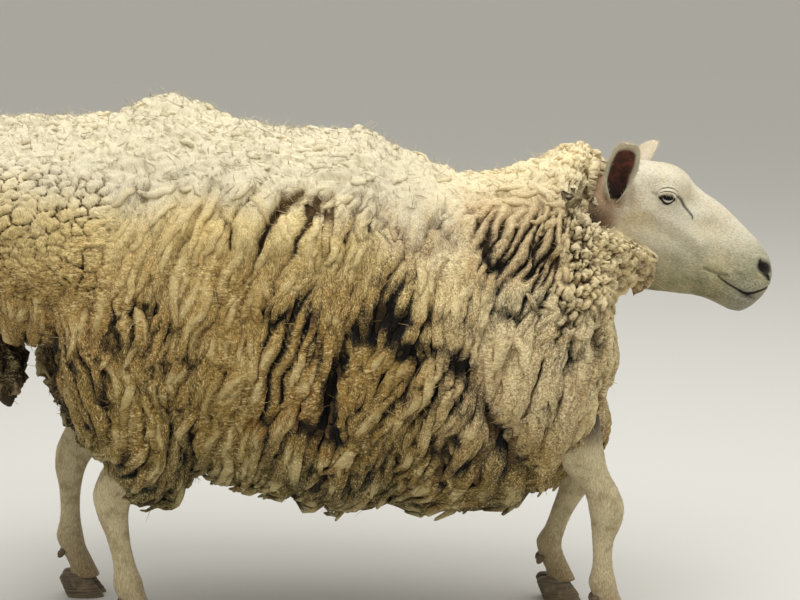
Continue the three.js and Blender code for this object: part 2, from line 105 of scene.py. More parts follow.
# The head's frame and its rings: place along, top, bottom, half width, widest height, powers.
HEAD_AT, HEAD_PITCH, HEAD_YAW = (0.408, 0.006, 0.638), math.radians(19.8), math.radians(10)
HEAD = np.array(
    [
        (-0.018, 0.095, -0.074, 0.056, 0.020, 2.2, 2.0),
        (0.006, 0.104, -0.086, 0.057, 0.030, 2.5, 1.9),
        (0.028, 0.109, -0.092, 0.059, 0.044, 2.7, 1.8),
        (0.050, 0.113, -0.090, 0.0615, 0.056, 2.8, 1.75),
        (0.066, 0.113, -0.085, 0.0635, 0.062, 2.8, 1.7),
        (0.082, 0.107, -0.080, 0.0605, 0.054, 2.7, 1.75),
        (0.098, 0.098, -0.076, 0.055, 0.036, 2.5, 1.8),
        (0.116, 0.092, -0.071, 0.049, 0.022, 2.3, 1.9),
        (0.137, 0.087, -0.066, 0.0445, 0.014, 2.2, 2.0),
        (0.156, 0.081, -0.061, 0.0405, 0.008, 2.1, 2.1),
        (0.178, 0.0715, -0.0585, 0.0375, 0.002, 2.1, 2.2),
        (0.199, 0.0615, -0.0595, 0.0355, -0.003, 2.2, 2.3),
        (0.219, 0.0515, -0.0605, 0.0345, -0.006, 2.3, 2.4),
        (0.234, 0.0415, -0.0555, 0.0335, -0.006, 2.4, 2.4),
        (0.245, 0.0315, -0.0425, 0.0305, -0.005, 2.4, 2.3),
        (0.2525, 0.021, -0.029, 0.0250, -0.004, 2.3, 2.2),
        (0.2565, 0.0105, -0.0165, 0.0160, -0.003, 2.0, 2.0),
        (0.258, 0.003, -0.008, 0.0055, -0.002, 2.0, 2.0),
    ]
)
EYE = {"along": 0.066, "out": 0.0562, "up": 0.0735, "radius": 0.0138}
EYE_LONG, EYE_HIGH, EYE_LOW = 0.0112, 0.0077, 0.0087

EAR = {"length": 0.116, "half": 0.0255, "cup": 0.0145, "wall": 0.0044, "bend": 0.009}
EARS = (
    (-1, (-0.012, 0.047, 0.036), (0.01, 0.61, 0.79), (0.30, 0.90, -0.30)),
    (1, (-0.008, 0.047, 0.048), (0.24, 0.73, 0.64), (0.72, 0.62, -0.30)),
)

# Legs, by ring: x, z, distance from the middle, reach fore and aft, reach sideways.
FORE_RIGHT = (
    (0.318, 0.420, 0.118, 0.060, 0.046), (0.330, 0.350, 0.118, 0.052, 0.042),
    (0.352, 0.300, 0.116, 0.038, 0.036), (0.376, 0.262, 0.114, 0.0235, 0.0245),
    (0.388, 0.238, 0.112, 0.0245, 0.0245), (0.395, 0.215, 0.111, 0.0265, 0.0255),
    (0.395, 0.194, 0.110, 0.0235, 0.0215), (0.391, 0.165, 0.109, 0.0165, 0.0145),
    (0.391, 0.122, 0.108, 0.0155, 0.0145), (0.391, 0.098, 0.108, 0.0205, 0.0195),
    (0.398, 0.076, 0.108, 0.0185, 0.0185), (0.408, 0.054, 0.108, 0.0185, 0.0195),
    (0.414, 0.034, 0.108, 0.0235, 0.0215),
)
FORE_LEFT = (
    (0.318, 0.420, 0.118, 0.060, 0.046), (0.336, 0.350, 0.118, 0.050, 0.042),
    (0.352, 0.300, 0.115, 0.036, 0.034), (0.370, 0.258, 0.112, 0.0265, 0.0255),
    (0.378, 0.230, 0.111, 0.0265, 0.0255), (0.375, 0.206, 0.110, 0.0265, 0.0255),
    (0.361, 0.178, 0.109, 0.0205, 0.0185), (0.348, 0.150, 0.108, 0.0170, 0.0145),
    (0.336, 0.118, 0.108, 0.0165, 0.0145), (0.327, 0.096, 0.107, 0.0205, 0.0195),
    (0.332, 0.074, 0.107, 0.0185, 0.0185), (0.341, 0.053, 0.107, 0.0185, 0.0195),
    (0.347, 0.034, 0.107, 0.0235, 0.0215),
)
HIND_RIGHT = (
    (-0.318, 0.520, 0.140, 0.100, 0.080), (-0.300, 0.440, 0.145, 0.085, 0.072),
    (-0.290, 0.370, 0.146, 0.070, 0.060), (-0.305, 0.312, 0.145, 0.052, 0.045),
    (-0.325, 0.276, 0.142, 0.037, 0.034), (-0.340, 0.258, 0.140, 0.032, 0.028),
    (-0.348, 0.242, 0.138, 0.030, 0.026), (-0.350, 0.218, 0.134, 0.0245, 0.0205),
    (-0.344, 0.180, 0.132, 0.0175, 0.0155), (-0.335, 0.130, 0.130, 0.0165, 0.0150),
    (-0.330, 0.100, 0.130, 0.0215, 0.0195), (-0.322, 0.078, 0.130, 0.0185, 0.0185),
    (-0.312, 0.055, 0.130, 0.0185, 0.0195), (-0.306, 0.034, 0.130, 0.0235, 0.0215),
)
HIND_LEFT = (
    (-0.348, 0.520, 0.140, 0.100, 0.080), (-0.350, 0.440, 0.145, 0.085, 0.072),
    (-0.366, 0.370, 0.146, 0.070, 0.060), (-0.395, 0.315, 0.145, 0.052, 0.045),
    (-0.424, 0.280, 0.141, 0.037, 0.034), (-0.442, 0.262, 0.138, 0.032, 0.028),
    (-0.453, 0.243, 0.135, 0.030, 0.026), (-0.460, 0.220, 0.132, 0.0255, 0.0205),
    (-0.462, 0.180, 0.130, 0.0175, 0.0155), (-0.463, 0.130, 0.129, 0.0165, 0.0150),
    (-0.464, 0.100, 0.128, 0.0215, 0.0195), (-0.457, 0.078, 0.128, 0.0185, 0.0185),
    (-0.447, 0.055, 0.128, 0.0185, 0.0195), (-0.441, 0.034, 0.128, 0.0235, 0.0215),
)
LEGS = ((-1, FORE_RIGHT), (1, FORE_LEFT), (-1, HIND_RIGHT), (1, HIND_LEFT))

# Woolly breeches over the thighs, and the tail's wool, in the same terms as the legs.
BREECH_RIGHT = (
    (-0.330, 0.640, 0.120, 0.150, 0.110), (-0.326, 0.580, 0.136, 0.158, 0.124),
    (-0.318, 0.520, 0.150, 0.150, 0.126), (-0.305, 0.440, 0.158, 0.128, 0.120),
    (-0.296, 0.370, 0.160, 0.115, 0.110), (-0.300, 0.312, 0.158, 0.104, 0.094),
    (-0.312, 0.280, 0.152, 0.082, 0.074), (-0.330, 0.262, 0.145, 0.048, 0.044),
    (-0.338, 0.258, 0.142, 0.012, 0.012),
)
BREECH_LEFT = (
    (-0.345, 0.640, 0.120, 0.150, 0.110), (-0.346, 0.580, 0.136, 0.158, 0.124),
    (-0.348, 0.520, 0.150, 0.150, 0.126), (-0.364, 0.440, 0.158, 0.148, 0.120),
    (-0.382, 0.370, 0.160, 0.134, 0.108), (-0.402, 0.315, 0.156, 0.106, 0.090),
    (-0.423, 0.284, 0.149, 0.076, 0.068), (-0.438, 0.265, 0.141, 0.042, 0.042),
    (-0.444, 0.260, 0.139, 0.012, 0.012),
)
TAIL = (
    (-0.560, 0.740, 0.0, 0.050, 0.060), (-0.590, 0.670, 0.0, 0.064, 0.078),
    (-0.594, 0.580, 0.0, 0.066, 0.084), (-0.574, 0.500, 0.0, 0.062, 0.076),
    (-0.552, 0.430, 0.0, 0.057, 0.064), (-0.538, 0.382, 0.0, 0.045, 0.048),
    (-0.531, 0.358, 0.0, 0.026, 0.027), (-0.529, 0.348, 0.0, 0.008, 0.008),
)

CLAW = {"length": 0.062, "width": 0.023, "height": 0.040, "lean": 0.022, "slit": 0.003, "ahead": 0.003}


# ---------------------------------------------------------------- small mathematics


def unit(v):
    """Vectors scaled to length one."""
    return v / np.maximum(np.linalg.norm(v, axis=-1, keepdims=True), 1e-12)


def smooth(low, high, x):
    """0 below low, 1 above high, and a cubic S between them."""
    t = np.clip((x - low) / (high - low), 0, 1)
    return t * t * (3 - 2 * t)


def band(x, low, high, soft):
    """1 between low and high, falling to 0 within soft of them."""
    return smooth(low - soft, low + soft, x) * (1 - smooth(high - soft, high + soft, x))


def powered(x, power):
    """|x| to a power, with the sign of x."""
    return np.sign(x) * np.abs(x) ** power


def curve(knots, rows, at):
    """Cubic Hermite curve through rows of numbers or points, one row to each knot."""
    knots, rows, at = np.asarray(knots, float), np.asarray(rows, float), np.asarray(at, float)
    slopes = np.gradient(rows, knots, axis=0)
    i = np.clip(np.searchsorted(knots, at, side="right") - 1, 0, len(knots) - 2)
    span = (knots[i + 1] - knots[i]).reshape((-1,) + (1,) * (rows.ndim - 1))
    t = (at - knots[i]).reshape(span.shape) / span
    return (
        rows[i] * (2 * t**3 - 3 * t**2 + 1)
        + slopes[i] * span * (t**3 - 2 * t**2 + t)
        + rows[i + 1] * (3 * t**2 - 2 * t**3)
        + slopes[i + 1] * span * (t**3 - t**2)
    )


def scatter(cell, seed):
    """A number from 0 to 1 for each cell of whole numbers, by mixing its bits."""
    mixed = np.full(cell.shape[:-1], seed * 374761393 + 668265263, np.uint64)
    for k, prime in enumerate((73856093, 19349663, 83492791)[: cell.shape[-1]]):
        mixed = (mixed ^ (cell[..., k].astype(np.uint64) * np.uint64(prime))) * np.uint64(2654435761)
        mixed ^= mixed >> np.uint64(15)
    mixed = (mixed ^ (mixed >> np.uint64(13))) * np.uint64(1274126177)
    return ((mixed ^ (mixed >> np.uint64(16))) & np.uint64(0xFFFFFF)).astype(float) / 0xFFFFFF


def noise(p, size, seed=0):
    """Smooth noise from -1 to 1: hashed corners of a lattice of a given size, blended by cubics."""
    q = p / size
    base = np.floor(q).astype(np.int64)
    f = q - base
    f = f * f * (3 - 2 * f)
    total = np.zeros(p.shape[:-1])
    for corner in np.ndindex(*(2,) * p.shape[-1]):
        weight = np.prod(np.where(np.array(corner) == 1, f, 1 - f), axis=-1)
        total += weight * scatter(base + np.array(corner), seed)
    return 2 * total - 1


def cells(p, seed):
    """One jittered point in each unit square: how far the nearest border is, the cell's own number,
    and how far along the second axis the place lies from the cell's point.

    The border's distance is the second nearest point's distance less the nearest one's.
    """
    base = np.floor(p).astype(np.int64)
    near, second = np.full(p.shape[:-1], 9.0), np.full(p.shape[:-1], 9.0)
    which, beyond = np.zeros(p.shape[:-1]), np.zeros(p.shape[:-1])
    for step in np.ndindex(3, 3):
        cell = base + np.array(step) - 1
        point = cell + 0.5 + 0.44 * np.stack(
            [2 * scatter(cell, seed) - 1, 2 * scatter(cell, seed + 7) - 1], -1
        )
        d = np.linalg.norm(p - point, axis=-1)
        closer = d < near
        second = np.where(closer, near, np.minimum(second, d))
        which = np.where(closer, scatter(cell, seed + 13), which)
        beyond = np.where(closer, p[..., 1] - point[..., 1], beyond)
        near = np.where(closer, d, near)
    return second - near, which, beyond


def pillow(gap, width):
    """A rounded cushion: 0 at a cell's border, 1 from a given distance inside it."""
    return 1 - (1 - np.clip(gap / width, 0, 1)) ** 2


# ---------------------------------------------------------------- rings and grids

HEAD_AXES = np.array(
    [
        (math.cos(HEAD_PITCH) * math.cos(HEAD_YAW), -math.cos(HEAD_PITCH) * math.sin(HEAD_YAW), -math.sin(HEAD_PITCH)),
        (math.sin(HEAD_YAW), math.cos(HEAD_YAW), 0.0),
        (math.sin(HEAD_PITCH) * math.cos(HEAD_YAW), -math.sin(HEAD_PITCH) * math.sin(HEAD_YAW), math.cos(HEAD_PITCH)),
    ]
)


def from_head(p):
    """Points given as (along, left, up) in the head's frame, in the tables' frame."""
    return np.asarray(HEAD_AT) + np.asarray(p) @ HEAD_AXES


def to_head(p):
    """Points of the tables' frame, as (along, left, up) in the head's."""
    return (np.asarray(p) - np.asarray(HEAD_AT)) @ HEAD_AXES.T


def oval(angle, half, up, down, upper, lower):
    """Sideways and upward reach of a ring whose top and bottom halves are superellipses."""
    c, s = np.cos(angle), np.sin(angle)
    power = np.where(s > 0, 2 / upper, 2 / lower)
    return powered(c, power) * half, powered(s, power) * np.where(s > 0, up, down)


def fan_rings(table, angle):
    """Rings between a top and a bottom point: (rings, points, 3). Angle 0 is the left side."""
    rings = []
    for top_x, top_z, low_x, low_z, half, wide, upper, lower in table:
        top, low = np.array([top_x, 0, top_z]), np.array([low_x, 0, low_z])
        height = np.linalg.norm(top - low)
        across, high = oval(angle, half, height * (1 - wide), height * wide, upper, lower)
        centre = low + (top - low) * wide
        rings.append(centre + across[:, None] * (0, 1, 0) + high[:, None] * unit(top - low))
    return np.array(rings)


def head_rings(angle):
    """The head's rings, square to its own line."""
    rings = []
    for along, top, bottom, half, wide, upper, lower in HEAD:
        across, high = oval(angle, half, top - wide, wide - bottom, upper, lower)
        rings.append(from_head(np.stack([np.full_like(across, along), across, wide + high], -1)))
    return np.array(rings)


def limb_rings(rows, side, angle):
    """A limb's rings, tilted with its line; angle 0 is its front."""
    rows = np.array(rows)
    lean = np.arctan2(np.gradient(rows[:, 0]), -np.gradient(rows[:, 1])) * 0.8
    lean[[0, -1]] = 0
    fore = powered(np.cos(angle), 0.9)[None, :] * rows[:, 3:4]
    across = powered(np.sin(angle), 0.9)[None, :] * rows[:, 4:5]
    return np.stack(
        [
            rows[:, :1] + fore * np.cos(lean)[:, None],
            side * rows[:, 2:3] - across,
            rows[:, 1:2] + fore * np.sin(lean)[:, None],
        ],
        -1,
    )


def ring_places(rings):
    """How far along a body or limb each ring lies: the steps between rings, averaged round them."""
    return np.concatenate([[0], np.cumsum(np.linalg.norm(np.diff(rings, axis=0), axis=-1).mean(1))])


def lofted(rings, count):
    """A closed grid of evenly spaced rows through rings."""
    knots = ring_places(rings)
    return curve(knots, rings, np.linspace(0, knots[-1], count))


def outward(away, grid, *others):
    """A grid and what goes with it, turned round if its faces don't point along the vectors away."""
    if (grid_normals(grid) * away).sum() < 0:
        return [g[:, ::-1] for g in (grid, *others)]
    return [grid, *others]


def grid_faces(n, m, wrap=True):
    """Quads of an n by m grid whose rows close on themselves, as corner numbers, and their unwrap."""
    i, j = np.meshgrid(np.arange(n - 1), np.arange(m if wrap else m - 1), indexing="ij")
    k = (j + 1) % m
    quads = np.stack([i * m + j, i * m + k, (i + 1) * m + k, (i + 1) * m + j], -1).reshape(-1, 4)
    across = m if wrap else m - 1
    u = np.stack([i, i, i + 1, i + 1], -1).reshape(-1, 4) / (n - 1)
    v = np.stack([j, j + 1, j + 1, j], -1).reshape(-1, 4) / across
    return quads, np.stack([u, v], -1)


def grid_normals(p, wrap=True):
    """Outward unit normals of a grid, from differences along and around it."""
    along = np.gradient(p, axis=0)
    around = (
        np.roll(p, -1, 1) - np.roll(p, 1, 1) if wrap else np.gradient(p, axis=1)
    )
    return unit(np.cross(around, along))


class Parts:
    """Grids gathered for one mesh: corners, faces, values at the corners and the unwrap."""

    def __init__(self, names=("tone",)):
        self.names = names
        self.points, self.faces, self.unwrap, self.strand = [], [], [], []
        self.values = {name: [] for name in names}
        self.count = 0

    def add(self, points, faces, unwrap, strand=None, **values):
        """Adds corners (n, 3), faces (f, 3 or 4), their unwrap and their place on a strand."""
        points = points.reshape(-1, 3)
        self.points.append(points)
        self.faces.append(faces + self.count)
        self.unwrap.append(unwrap)
        self.strand.append(np.zeros_like(unwrap) if strand is None else strand)
        self.count += len(points)
        for name in self.names:
            self.values[name].append(np.broadcast_to(values.get(name, 0.0), (len(points),)))

    def add_grid(self, points, patch=(0, 0, 1, 1), wrap=True, close=(False, False), **values):
        """Adds a grid, unwrapped into a patch (left, low, right, high), its ends closed by fans."""
        n, m = points.shape[:2]
        quads, unwrap = grid_faces(n, m, wrap)
        low, size = np.array(patch[:2]), np.array(patch[2:]) - np.array(patch[:2])
        flat = {k: np.broadcast_to(v, (n, m)).reshape(-1) for k, v in values.items()}
        start = self.count
        self.add(points, quads, low + unwrap * size, **flat)
        for end, wanted in enumerate(close):
            if not wanted:
                continue
            row = 0 if end == 0 else n - 1
            rim = start + row * m + np.arange(m)
            pole = self.count
            mean = {k: v.reshape(n, m)[row].mean() for k, v in flat.items()}
            self.add(points[row].mean(0)[None], np.zeros((0, 3), int), np.zeros((0, 3, 2)), **mean)
            after = np.roll(rim, -1)
            poles = np.full(m, pole)
            fan = np.stack([after, rim, poles] if end == 0 else [rim, after, poles], -1)
            j = np.arange(m) / m
            u = np.full(m, float(end))
            corners = [(u, j + 1 / m), (u, j), (u, j)] if end == 0 else [(u, j), (u, j + 1 / m), (u, j)]
            fan_unwrap = low + np.stack([np.stack(c, -1) for c in corners], 1) * size
            self.faces.append(fan)
            self.unwrap.append(fan_unwrap)
            self.strand.append(np.zeros_like(fan_unwrap))

    def make(self, name, material):
        """Makes the mesh object, smooth, riding on the frame's one body."""
        mesh = bpy.data.meshes.new(name)
        points = np.concatenate(self.points) + SHIFT
        sides = np.concatenate([np.full(len(f), f.shape[1]) for f in self.faces])
        corners = np.concatenate([f.reshape(-1) for f in self.faces])
        mesh.vertices.add(len(points))
        mesh.vertices.foreach_set("co", points.astype(np.float32).ravel())
        mesh.loops.add(len(corners))
        mesh.loops.foreach_set("vertex_index", corners.astype(np.int32))
        mesh.polygons.add(len(sides))
        mesh.polygons.foreach_set("loop_start", (np.cumsum(sides) - sides).astype(np.int32))
        mesh.update(calc_edges=True)
        mesh.polygons.foreach_set("use_smooth", np.ones(len(sides), bool))
        layer = mesh.uv_layers.new(name="OFBake")
        flat = np.concatenate([u.reshape(-1, 2) for u in self.unwrap])
        layer.data.foreach_set("uv", np.clip(flat, 0.001, 0.999).astype(np.float32).ravel())
        if any(np.any(part) for part in self.strand):
            layer = mesh.uv_layers.new(name="Strand")
            flat = np.concatenate([u.reshape(-1, 2) for u in self.strand])
            layer.data.foreach_set("uv", flat.astype(np.float32).ravel())
        for key in self.names:
            attribute = mesh.attributes.new(key, "FLOAT", "POINT")
            attribute.data.foreach_set("value", np.concatenate(self.values[key]).astype(np.float32))
        mesh.materials.append(material)
        piece = bpy.data.objects.new(name, mesh)
        bpy.context.scene.collection.objects.link(piece)
        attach(piece, "root")
        return piece


# ---------------------------------------------------------------- the fleece's surface


class Surface:
    """A grid of points with normals, steps, and fields that can be read anywhere between them."""

    def __init__(self, points):
        self.points = points
        self.normals = grid_normals(points)
        self.along = np.gradient(points, axis=0)
        self.around = (np.roll(points, -1, 1) - np.roll(points, 1, 1)) / 2
        self.fields = {}

    def read(self, grid, uv):
        """Bilinear reading of a grid at row and column numbers uv (..., 2), closed around."""
        n, m = grid.shape[:2]
        row = np.clip(uv[..., 0], 0, n - 1.001)
        i, f = row.astype(int), row - row.astype(int)
        col = uv[..., 1] % m
        j, g = col.astype(int) % m, col - np.floor(col)
        k = (j + 1) % m
        if grid.ndim == 3:
            f, g = f[..., None], g[..., None]
        return (
            grid[i, j] * (1 - f) * (1 - g) + grid[i, k] * (1 - f) * g
            + grid[i + 1, j] * f * (1 - g) + grid[i + 1, k] * f * g
        )

    def step(self, uv, direction):
        """The change of uv that moves one metre along a direction laid onto the surface."""
        a, b = self.read(self.along, uv), self.read(self.around, uv)
        aa, ab, bb = (a * a).sum(-1), (a * b).sum(-1), (b * b).sum(-1)
        ra, rb = (a * direction).sum(-1), (b * direction).sum(-1)
        det = np.maximum(aa * bb - ab * ab, 1e-14)
        du, dv = (bb * ra - ab * rb) / det, (aa * rb - ab * ra) / det
        moved = np.linalg.norm(a * du[..., None] + b * dv[..., None], axis=-1)
        return np.stack([du, dv], -1) / np.maximum(moved, 1e-4)[..., None]


def girth_and_length(points, middle_row):
    """Distances over a surface: down from the spine along each ring, and forward from one ring."""
    n, m = points.shape[:2]
    top = m // 2
    steps = np.linalg.norm(np.roll(points, -1, 1) - points, axis=-1)
    from_start = np.concatenate([np.zeros((n, 1)), np.cumsum(steps, 1)[:, :-1]], 1)
    girth = from_start - from_start[:, top : top + 1]
    forward = np.concatenate([np.zeros((1, m)), np.cumsum(np.linalg.norm(np.diff(points, axis=0), axis=-1), 0)])
    return girth, forward - forward[middle_row : middle_row + 1]


def regions(p, out):
    """How far each kind of fleece reigns at points p with outward directions out: weights, sum 1.

    back: soft and short on top. rump: cracked blocks. neck: narrow upright ropes. throat: chunks.
    chest: hanging ropes. flank: long ropes everywhere else.
    """
    x, z, wobble = p[..., 0], p[..., 2], 0.03 * noise(p, 0.11, 5)
    xw, zw = x + wobble, z + wobble
    edge = 0.716 + 0.050 * (1 - smooth(-0.42, -0.28, x)) - 0.034 * smooth(0.14, 0.24, x)
    back = smooth(edge - 0.035, edge + 0.035, zw) * smooth(-0.1, 0.25, out[..., 2])
    rump = (1 - smooth(-0.36, -0.27, xw)) * smooth(0.53, 0.60, zw) * (1 - back)
    neck = band(xw, 0.180, 0.318, 0.018) * band(zw, 0.570, 0.682, 0.016) * (1 - back)
    throat = smooth(0.29, 0.33, xw) * smooth(0.50, 0.55, zw) * (1 - neck) * (1 - back * (1 - smooth(0.30, 0.36, x)))
    chest = smooth(0.15, 0.24, xw) * (1 - neck) * (1 - throat) * (1 - back)
    flank = np.clip(1 - back - rump - neck - throat - chest, 0, 1)
    total = back + rump + neck + throat + chest + flank
    named = {"back": back, "rump": rump, "neck": neck, "throat": throat, "chest": chest, "flank": flank}
    return {k: w / total for k, w in named.items()}


# Deep gaps in the fleece: x, z, reach along, reach up, and how far x shifts with height.
HOLLOWS = (
    (0.224, 0.360, 0.020, 0.064, -0.53),
    (-0.018, 0.420, 0.012, 0.060, 0.30),
    (-0.452, 0.430, 0.020, 0.070, 0.35),
)


def hollows(p):
    """1 in the deep gaps of the fleece behind the breast and behind the thighs, 0 away from them."""
    gap = np.zeros(p.shape[:-1])
    for x, z, wide, tall, slope in HOLLOWS:
        lean = slope * (p[..., 2] - z)
        gap = np.maximum(gap, np.exp(-(((p[..., 0] - x - lean) / wide) ** 2) - ((p[..., 2] - z) / tall) ** 2))
    return gap * smooth(0.05, 0.09, np.abs(p[..., 1]))


def matted(length, girth, p, weights):
    """Height of the matted fleece over its floor, in metres, and its tone from 0 (crevice) to 1.

    Each kind of fleece is cushions on nets of cells of its own sizes, on a bent and rippled ground;
    ropes lean back as they fall, and each rope's lower end stands proud of the one below. Where the
    wool is felted together its smaller nets fade.
    """
    lean = 0.34 * np.clip(np.abs(girth) - 0.14, 0, 1)
    a = length + lean + 0.024 * noise(p, 0.16, 21) + 0.011 * noise(p, 0.045, 22) + 0.0034 * noise(p, 0.015, 23)
    b = girth + 0.045 * noise(p, 0.17, 24) + 0.014 * noise(p, 0.05, 25) + 0.0030 * noise(p, 0.014, 26)
    felted = smooth(-0.10, 0.45, noise(p, 0.12, 27))
    apart = 0.30 + 0.70 * smooth(-0.40, 0.30, noise(p, 0.075, 28))
    apart = apart * (1 - 0.55 * smooth(0.54, 0.66, p[..., 2]) * smooth(-0.05, 0.10, p[..., 0]))
    downward = np.where(girth < 0, -1.0, 1.0)

    def net(wide, tall, seed, border):
        gap, which, beyond = cells(np.stack([a / wide, b / tall], -1), seed)
        return pillow(gap, border), which, beyond * downward

    panel, _, _ = net(0.112, 1.20, 30, 0.34)
    fold, fold_id, fold_down = net(0.037, 0.21, 31, 0.80)
    finger, finger_id, finger_down = net(0.0150, 0.072, 32, 0.85)
    large, large_id, _ = net(0.030, 0.032, 33, 0.24)
    small, small_id, _ = net(0.020, 0.021, 40, 0.40)
    grain, _, _ = net(0.0100, 0.0105, 34, 0.9)
    cord, cord_id, cord_down = net(0.0170, 0.12, 35, 0.75)
    chunk, chunk_id, _ = net(0.0200, 0.0200, 36, 1.0)
    soft, soft_id, _ = net(0.056, 0.050, 37, 1.0)
    tuft, tuft_id, _ = net(0.0185, 0.019, 41, 1.0)
    drape, drape_id, drape_down = net(0.060, 0.32, 38, 0.66)
    high = np.maximum(smooth(0.66, 0.74, p[..., 2]), smooth(0.14, 0.26, noise(p, 0.085, 44)))
    block = large + (small - large) * high
    block = 1 - (1 - block) * (0.16 + 0.84 * apart)
    block_id = large_id + (small_id - large_id) * high
    fingers = finger * (1 - 0.55 * felted)
    proud = 0.0045 * (fold_down + 0.4) + 0.0030 * (finger_down + 0.4) * (1 - felted)
    heights = {
        "flank": 0.009 * panel * apart + 0.019 * fold * (0.35 + 0.65 * apart) + 0.0080 * fingers + 0.003 * felted
        + 0.004 * fold_id + 0.002 * finger_id * (1 - felted) + proud,
        "rump": 0.019 + (0.010 - 0.004 * high) * block + 0.0030 * grain + 0.003 * block_id * block,
        "neck": 0.012 + 0.017 * cord + 0.003 * grain + 0.004 * cord_id * cord + 0.003 * cord_down,
        "throat": 0.013 + 0.015 * chunk + 0.003 * grain + 0.008 * chunk_id * chunk,
        "chest": 0.004 + 0.025 * drape * (0.4 + 0.6 * apart) + 0.006 * fingers + 0.003 * felted
        + 0.006 * drape_id * drape + 0.0045 * (drape_down + 0.4),
        "back": 0.021 + 0.008 * soft + 0.0055 * tuft + 0.003 * soft_id + 0.003 * tuft_id,
    }
    # The tones below are painted shade: low in crevices, cracks and the gaps between folds, fingers, cords and chunks,
    # high on the tops.
    rough = np.minimum(0.36 + 0.64 * fingers + 0.36 * felted, 1)
    tones = {
        "flank": np.minimum(panel**0.4 + 0.6 * (1 - apart), 1) * (1 - apart * (1 - fold) ** 2.2) * rough,
        "rump": (0.94 - 0.94 * (1 - block) ** 1.5) * (0.62 + 0.38 * grain),
        "neck": cord**0.9 * (0.6 + 0.4 * grain),
        "throat": 0.08 + 0.92 * chunk * (0.55 + 0.45 * grain),
        "chest": (1 - apart * (1 - drape) ** 2.2) * rough,
        "back": 0.80 + 0.20 * soft * (0.5 + 0.5 * tuft),
    }
    gap = hollows(p)
    height = sum(weights[k] * heights[k] for k in weights) * (1 - 0.2 * gap) - 0.022 * gap
    # the deep gaps are painted nearly black, as shade
    tone = sum(weights[k] * tones[k] for k in weights) * (1 - 0.95 * gap)
    ripple = (0.0019 * noise(p, 0.015, 42) + 0.0013 * noise(p, 0.0075, 43)) * (1 - 0.55 * weights["back"])
    # the ripple also lightens its bumps and darkens its dips, as painted light and shade
    return height + ripple, np.clip(tone + 25 * ripple, 0, 1) ** 1.15


def raised(p):
    """How far the raised tufts on the back lift the fleece at points p."""
    lift = np.zeros(p.shape[:-1])
    for x, y, z, long, wide, rise in TUFTS:
        far = ((p[..., 0] - x) / long) ** 2 + ((p[..., 1] - y) / wide) ** 2
        lift += rise * np.exp(-far - ((p[..., 2] - z) / 0.06) ** 2)
    return lift


FLOOR_OF_MAT = -0.035  # the mat's floor, from the fleece's envelope


def covered(s, length, girth, weights):
    """The surface with its kinds of fleece, matted height and tone worked out."""
    height, tone = matted(length, girth, s.points, weights)
    s.fields.update(weights=weights, height=height + FLOOR_OF_MAT, tone=tone)
    return s


def woolly(points, seed, middle_row):
    """A surface with its matted height and tone worked out, ready for locks to follow."""
    s = Surface(points)
    s.points = points + s.normals * (0.008 * noise(points, 0.16, seed) + raised(points))[..., None]
    s.points[..., 1] *= 1 - 0.030 * smooth(0.24, 0.29, np.abs(s.points[..., 1]))
    s.normals = grid_normals(s.points)
    girth, length = girth_and_length(s.points, middle_row)
    return covered(s, length + 3 * seed, girth, regions(s.points, s.normals))


@lru_cache(maxsize=None)
def body_surface(rows=440, columns=600):
    """The fleece from rump to cheeks, closed around; column 0 is the belly, half way is the spine."""
    angle = -math.pi / 2 + np.arange(columns) / columns * TAU
    rings = fan_rings(FLEECE, angle)
    points = lofted(rings, rows)
    # even spacing round each ring, so that flat sides aren't left with few points
    ring_steps = np.linalg.norm(np.roll(points, -1, 1) - points, axis=-1)
    walked = np.concatenate([np.zeros((rows, 1)), np.cumsum(ring_steps, 1)], 1)
    walked = walked / walked[:, -1:]
    closed = np.concatenate([points, points[:, :1]], 1)
    half = columns // 2
    top = walked[:, half : half + 1]
    share = np.arange(columns) / columns
    target = np.where(share < 0.5, share * 2 * top, top + (share - 0.5) * 2 * (1 - top))
    offset = 3.0 * np.arange(rows)[:, None]  # keeps each ring's distances apart in one long list
    keys, wanted = (walked + offset).ravel(), (target + offset).ravel()
    even = np.stack([np.interp(wanted, keys, closed[..., k].ravel()) for k in range(3)], -1)
    even = even.reshape(rows, columns, 3)
    # the edge of the wool stands forward on the cheeks, and back round the ears
    near = smooth(0.330, 0.425, even[..., 0])
    beside = smooth(0.030, 0.060, np.abs(even[..., 1]))
    z = even[..., 2] + 0.010 * noise(even, 0.03, 7)
    even[..., 0] += near * beside * 0.020 * band(z, 0.535, 0.655, 0.014)
    local = to_head(clear_of_head(even, 0.010 * near + 0.003))
    a, y, u = np.moveaxis(local, -1, 0)
    bare = smooth(0.020, 0.038, np.abs(y)) * band(u + 0.3 * (a + 0.02), 0.020, 0.112, 0.010)
    local[..., 0] = a - 0.72 * bare * np.maximum(a + 0.070, 0)
    s = woolly(from_head(local), 1, int(rows * 0.5))
    # the lip that turns in round the head is soft and even, without nets of its own
    lip = smooth(rows - 17, rows - 7, np.arange(rows))[:, None]
    s.fields["height"] += lip * (FLOOR_OF_MAT + 0.026 - s.fields["height"])
    s.fields["tone"] += lip * (0.62 + 0.3 * noise(s.points, 0.008, 45) - s.fields["tone"])
    return s


def clear_of_head(points, gap):
    """Points moved sideways until they stand off the head's sides by a gap."""
    local = to_head(points)
    a, y, u = np.moveaxis(local, -1, 0)
    top, bottom, half, wide, upper, lower = (np.interp(a, HEAD[:, 0], HEAD[:, k]) for k in range(1, 7))
    over = u > wide
    reach = np.where(over, top - wide, wide - bottom)
    share = np.clip(np.abs(u - wide) / reach, 0, 1)
    power = np.where(over, upper, lower)
    side = half * (1 - share**power) ** (1 / power)
    inside = (a > HEAD[0, 0]) & (share < 1) & (np.abs(y) > 0.01)
    local[..., 1] = np.where(inside, np.sign(y) * np.maximum(np.abs(y), side + gap), y)
    return from_head(local)


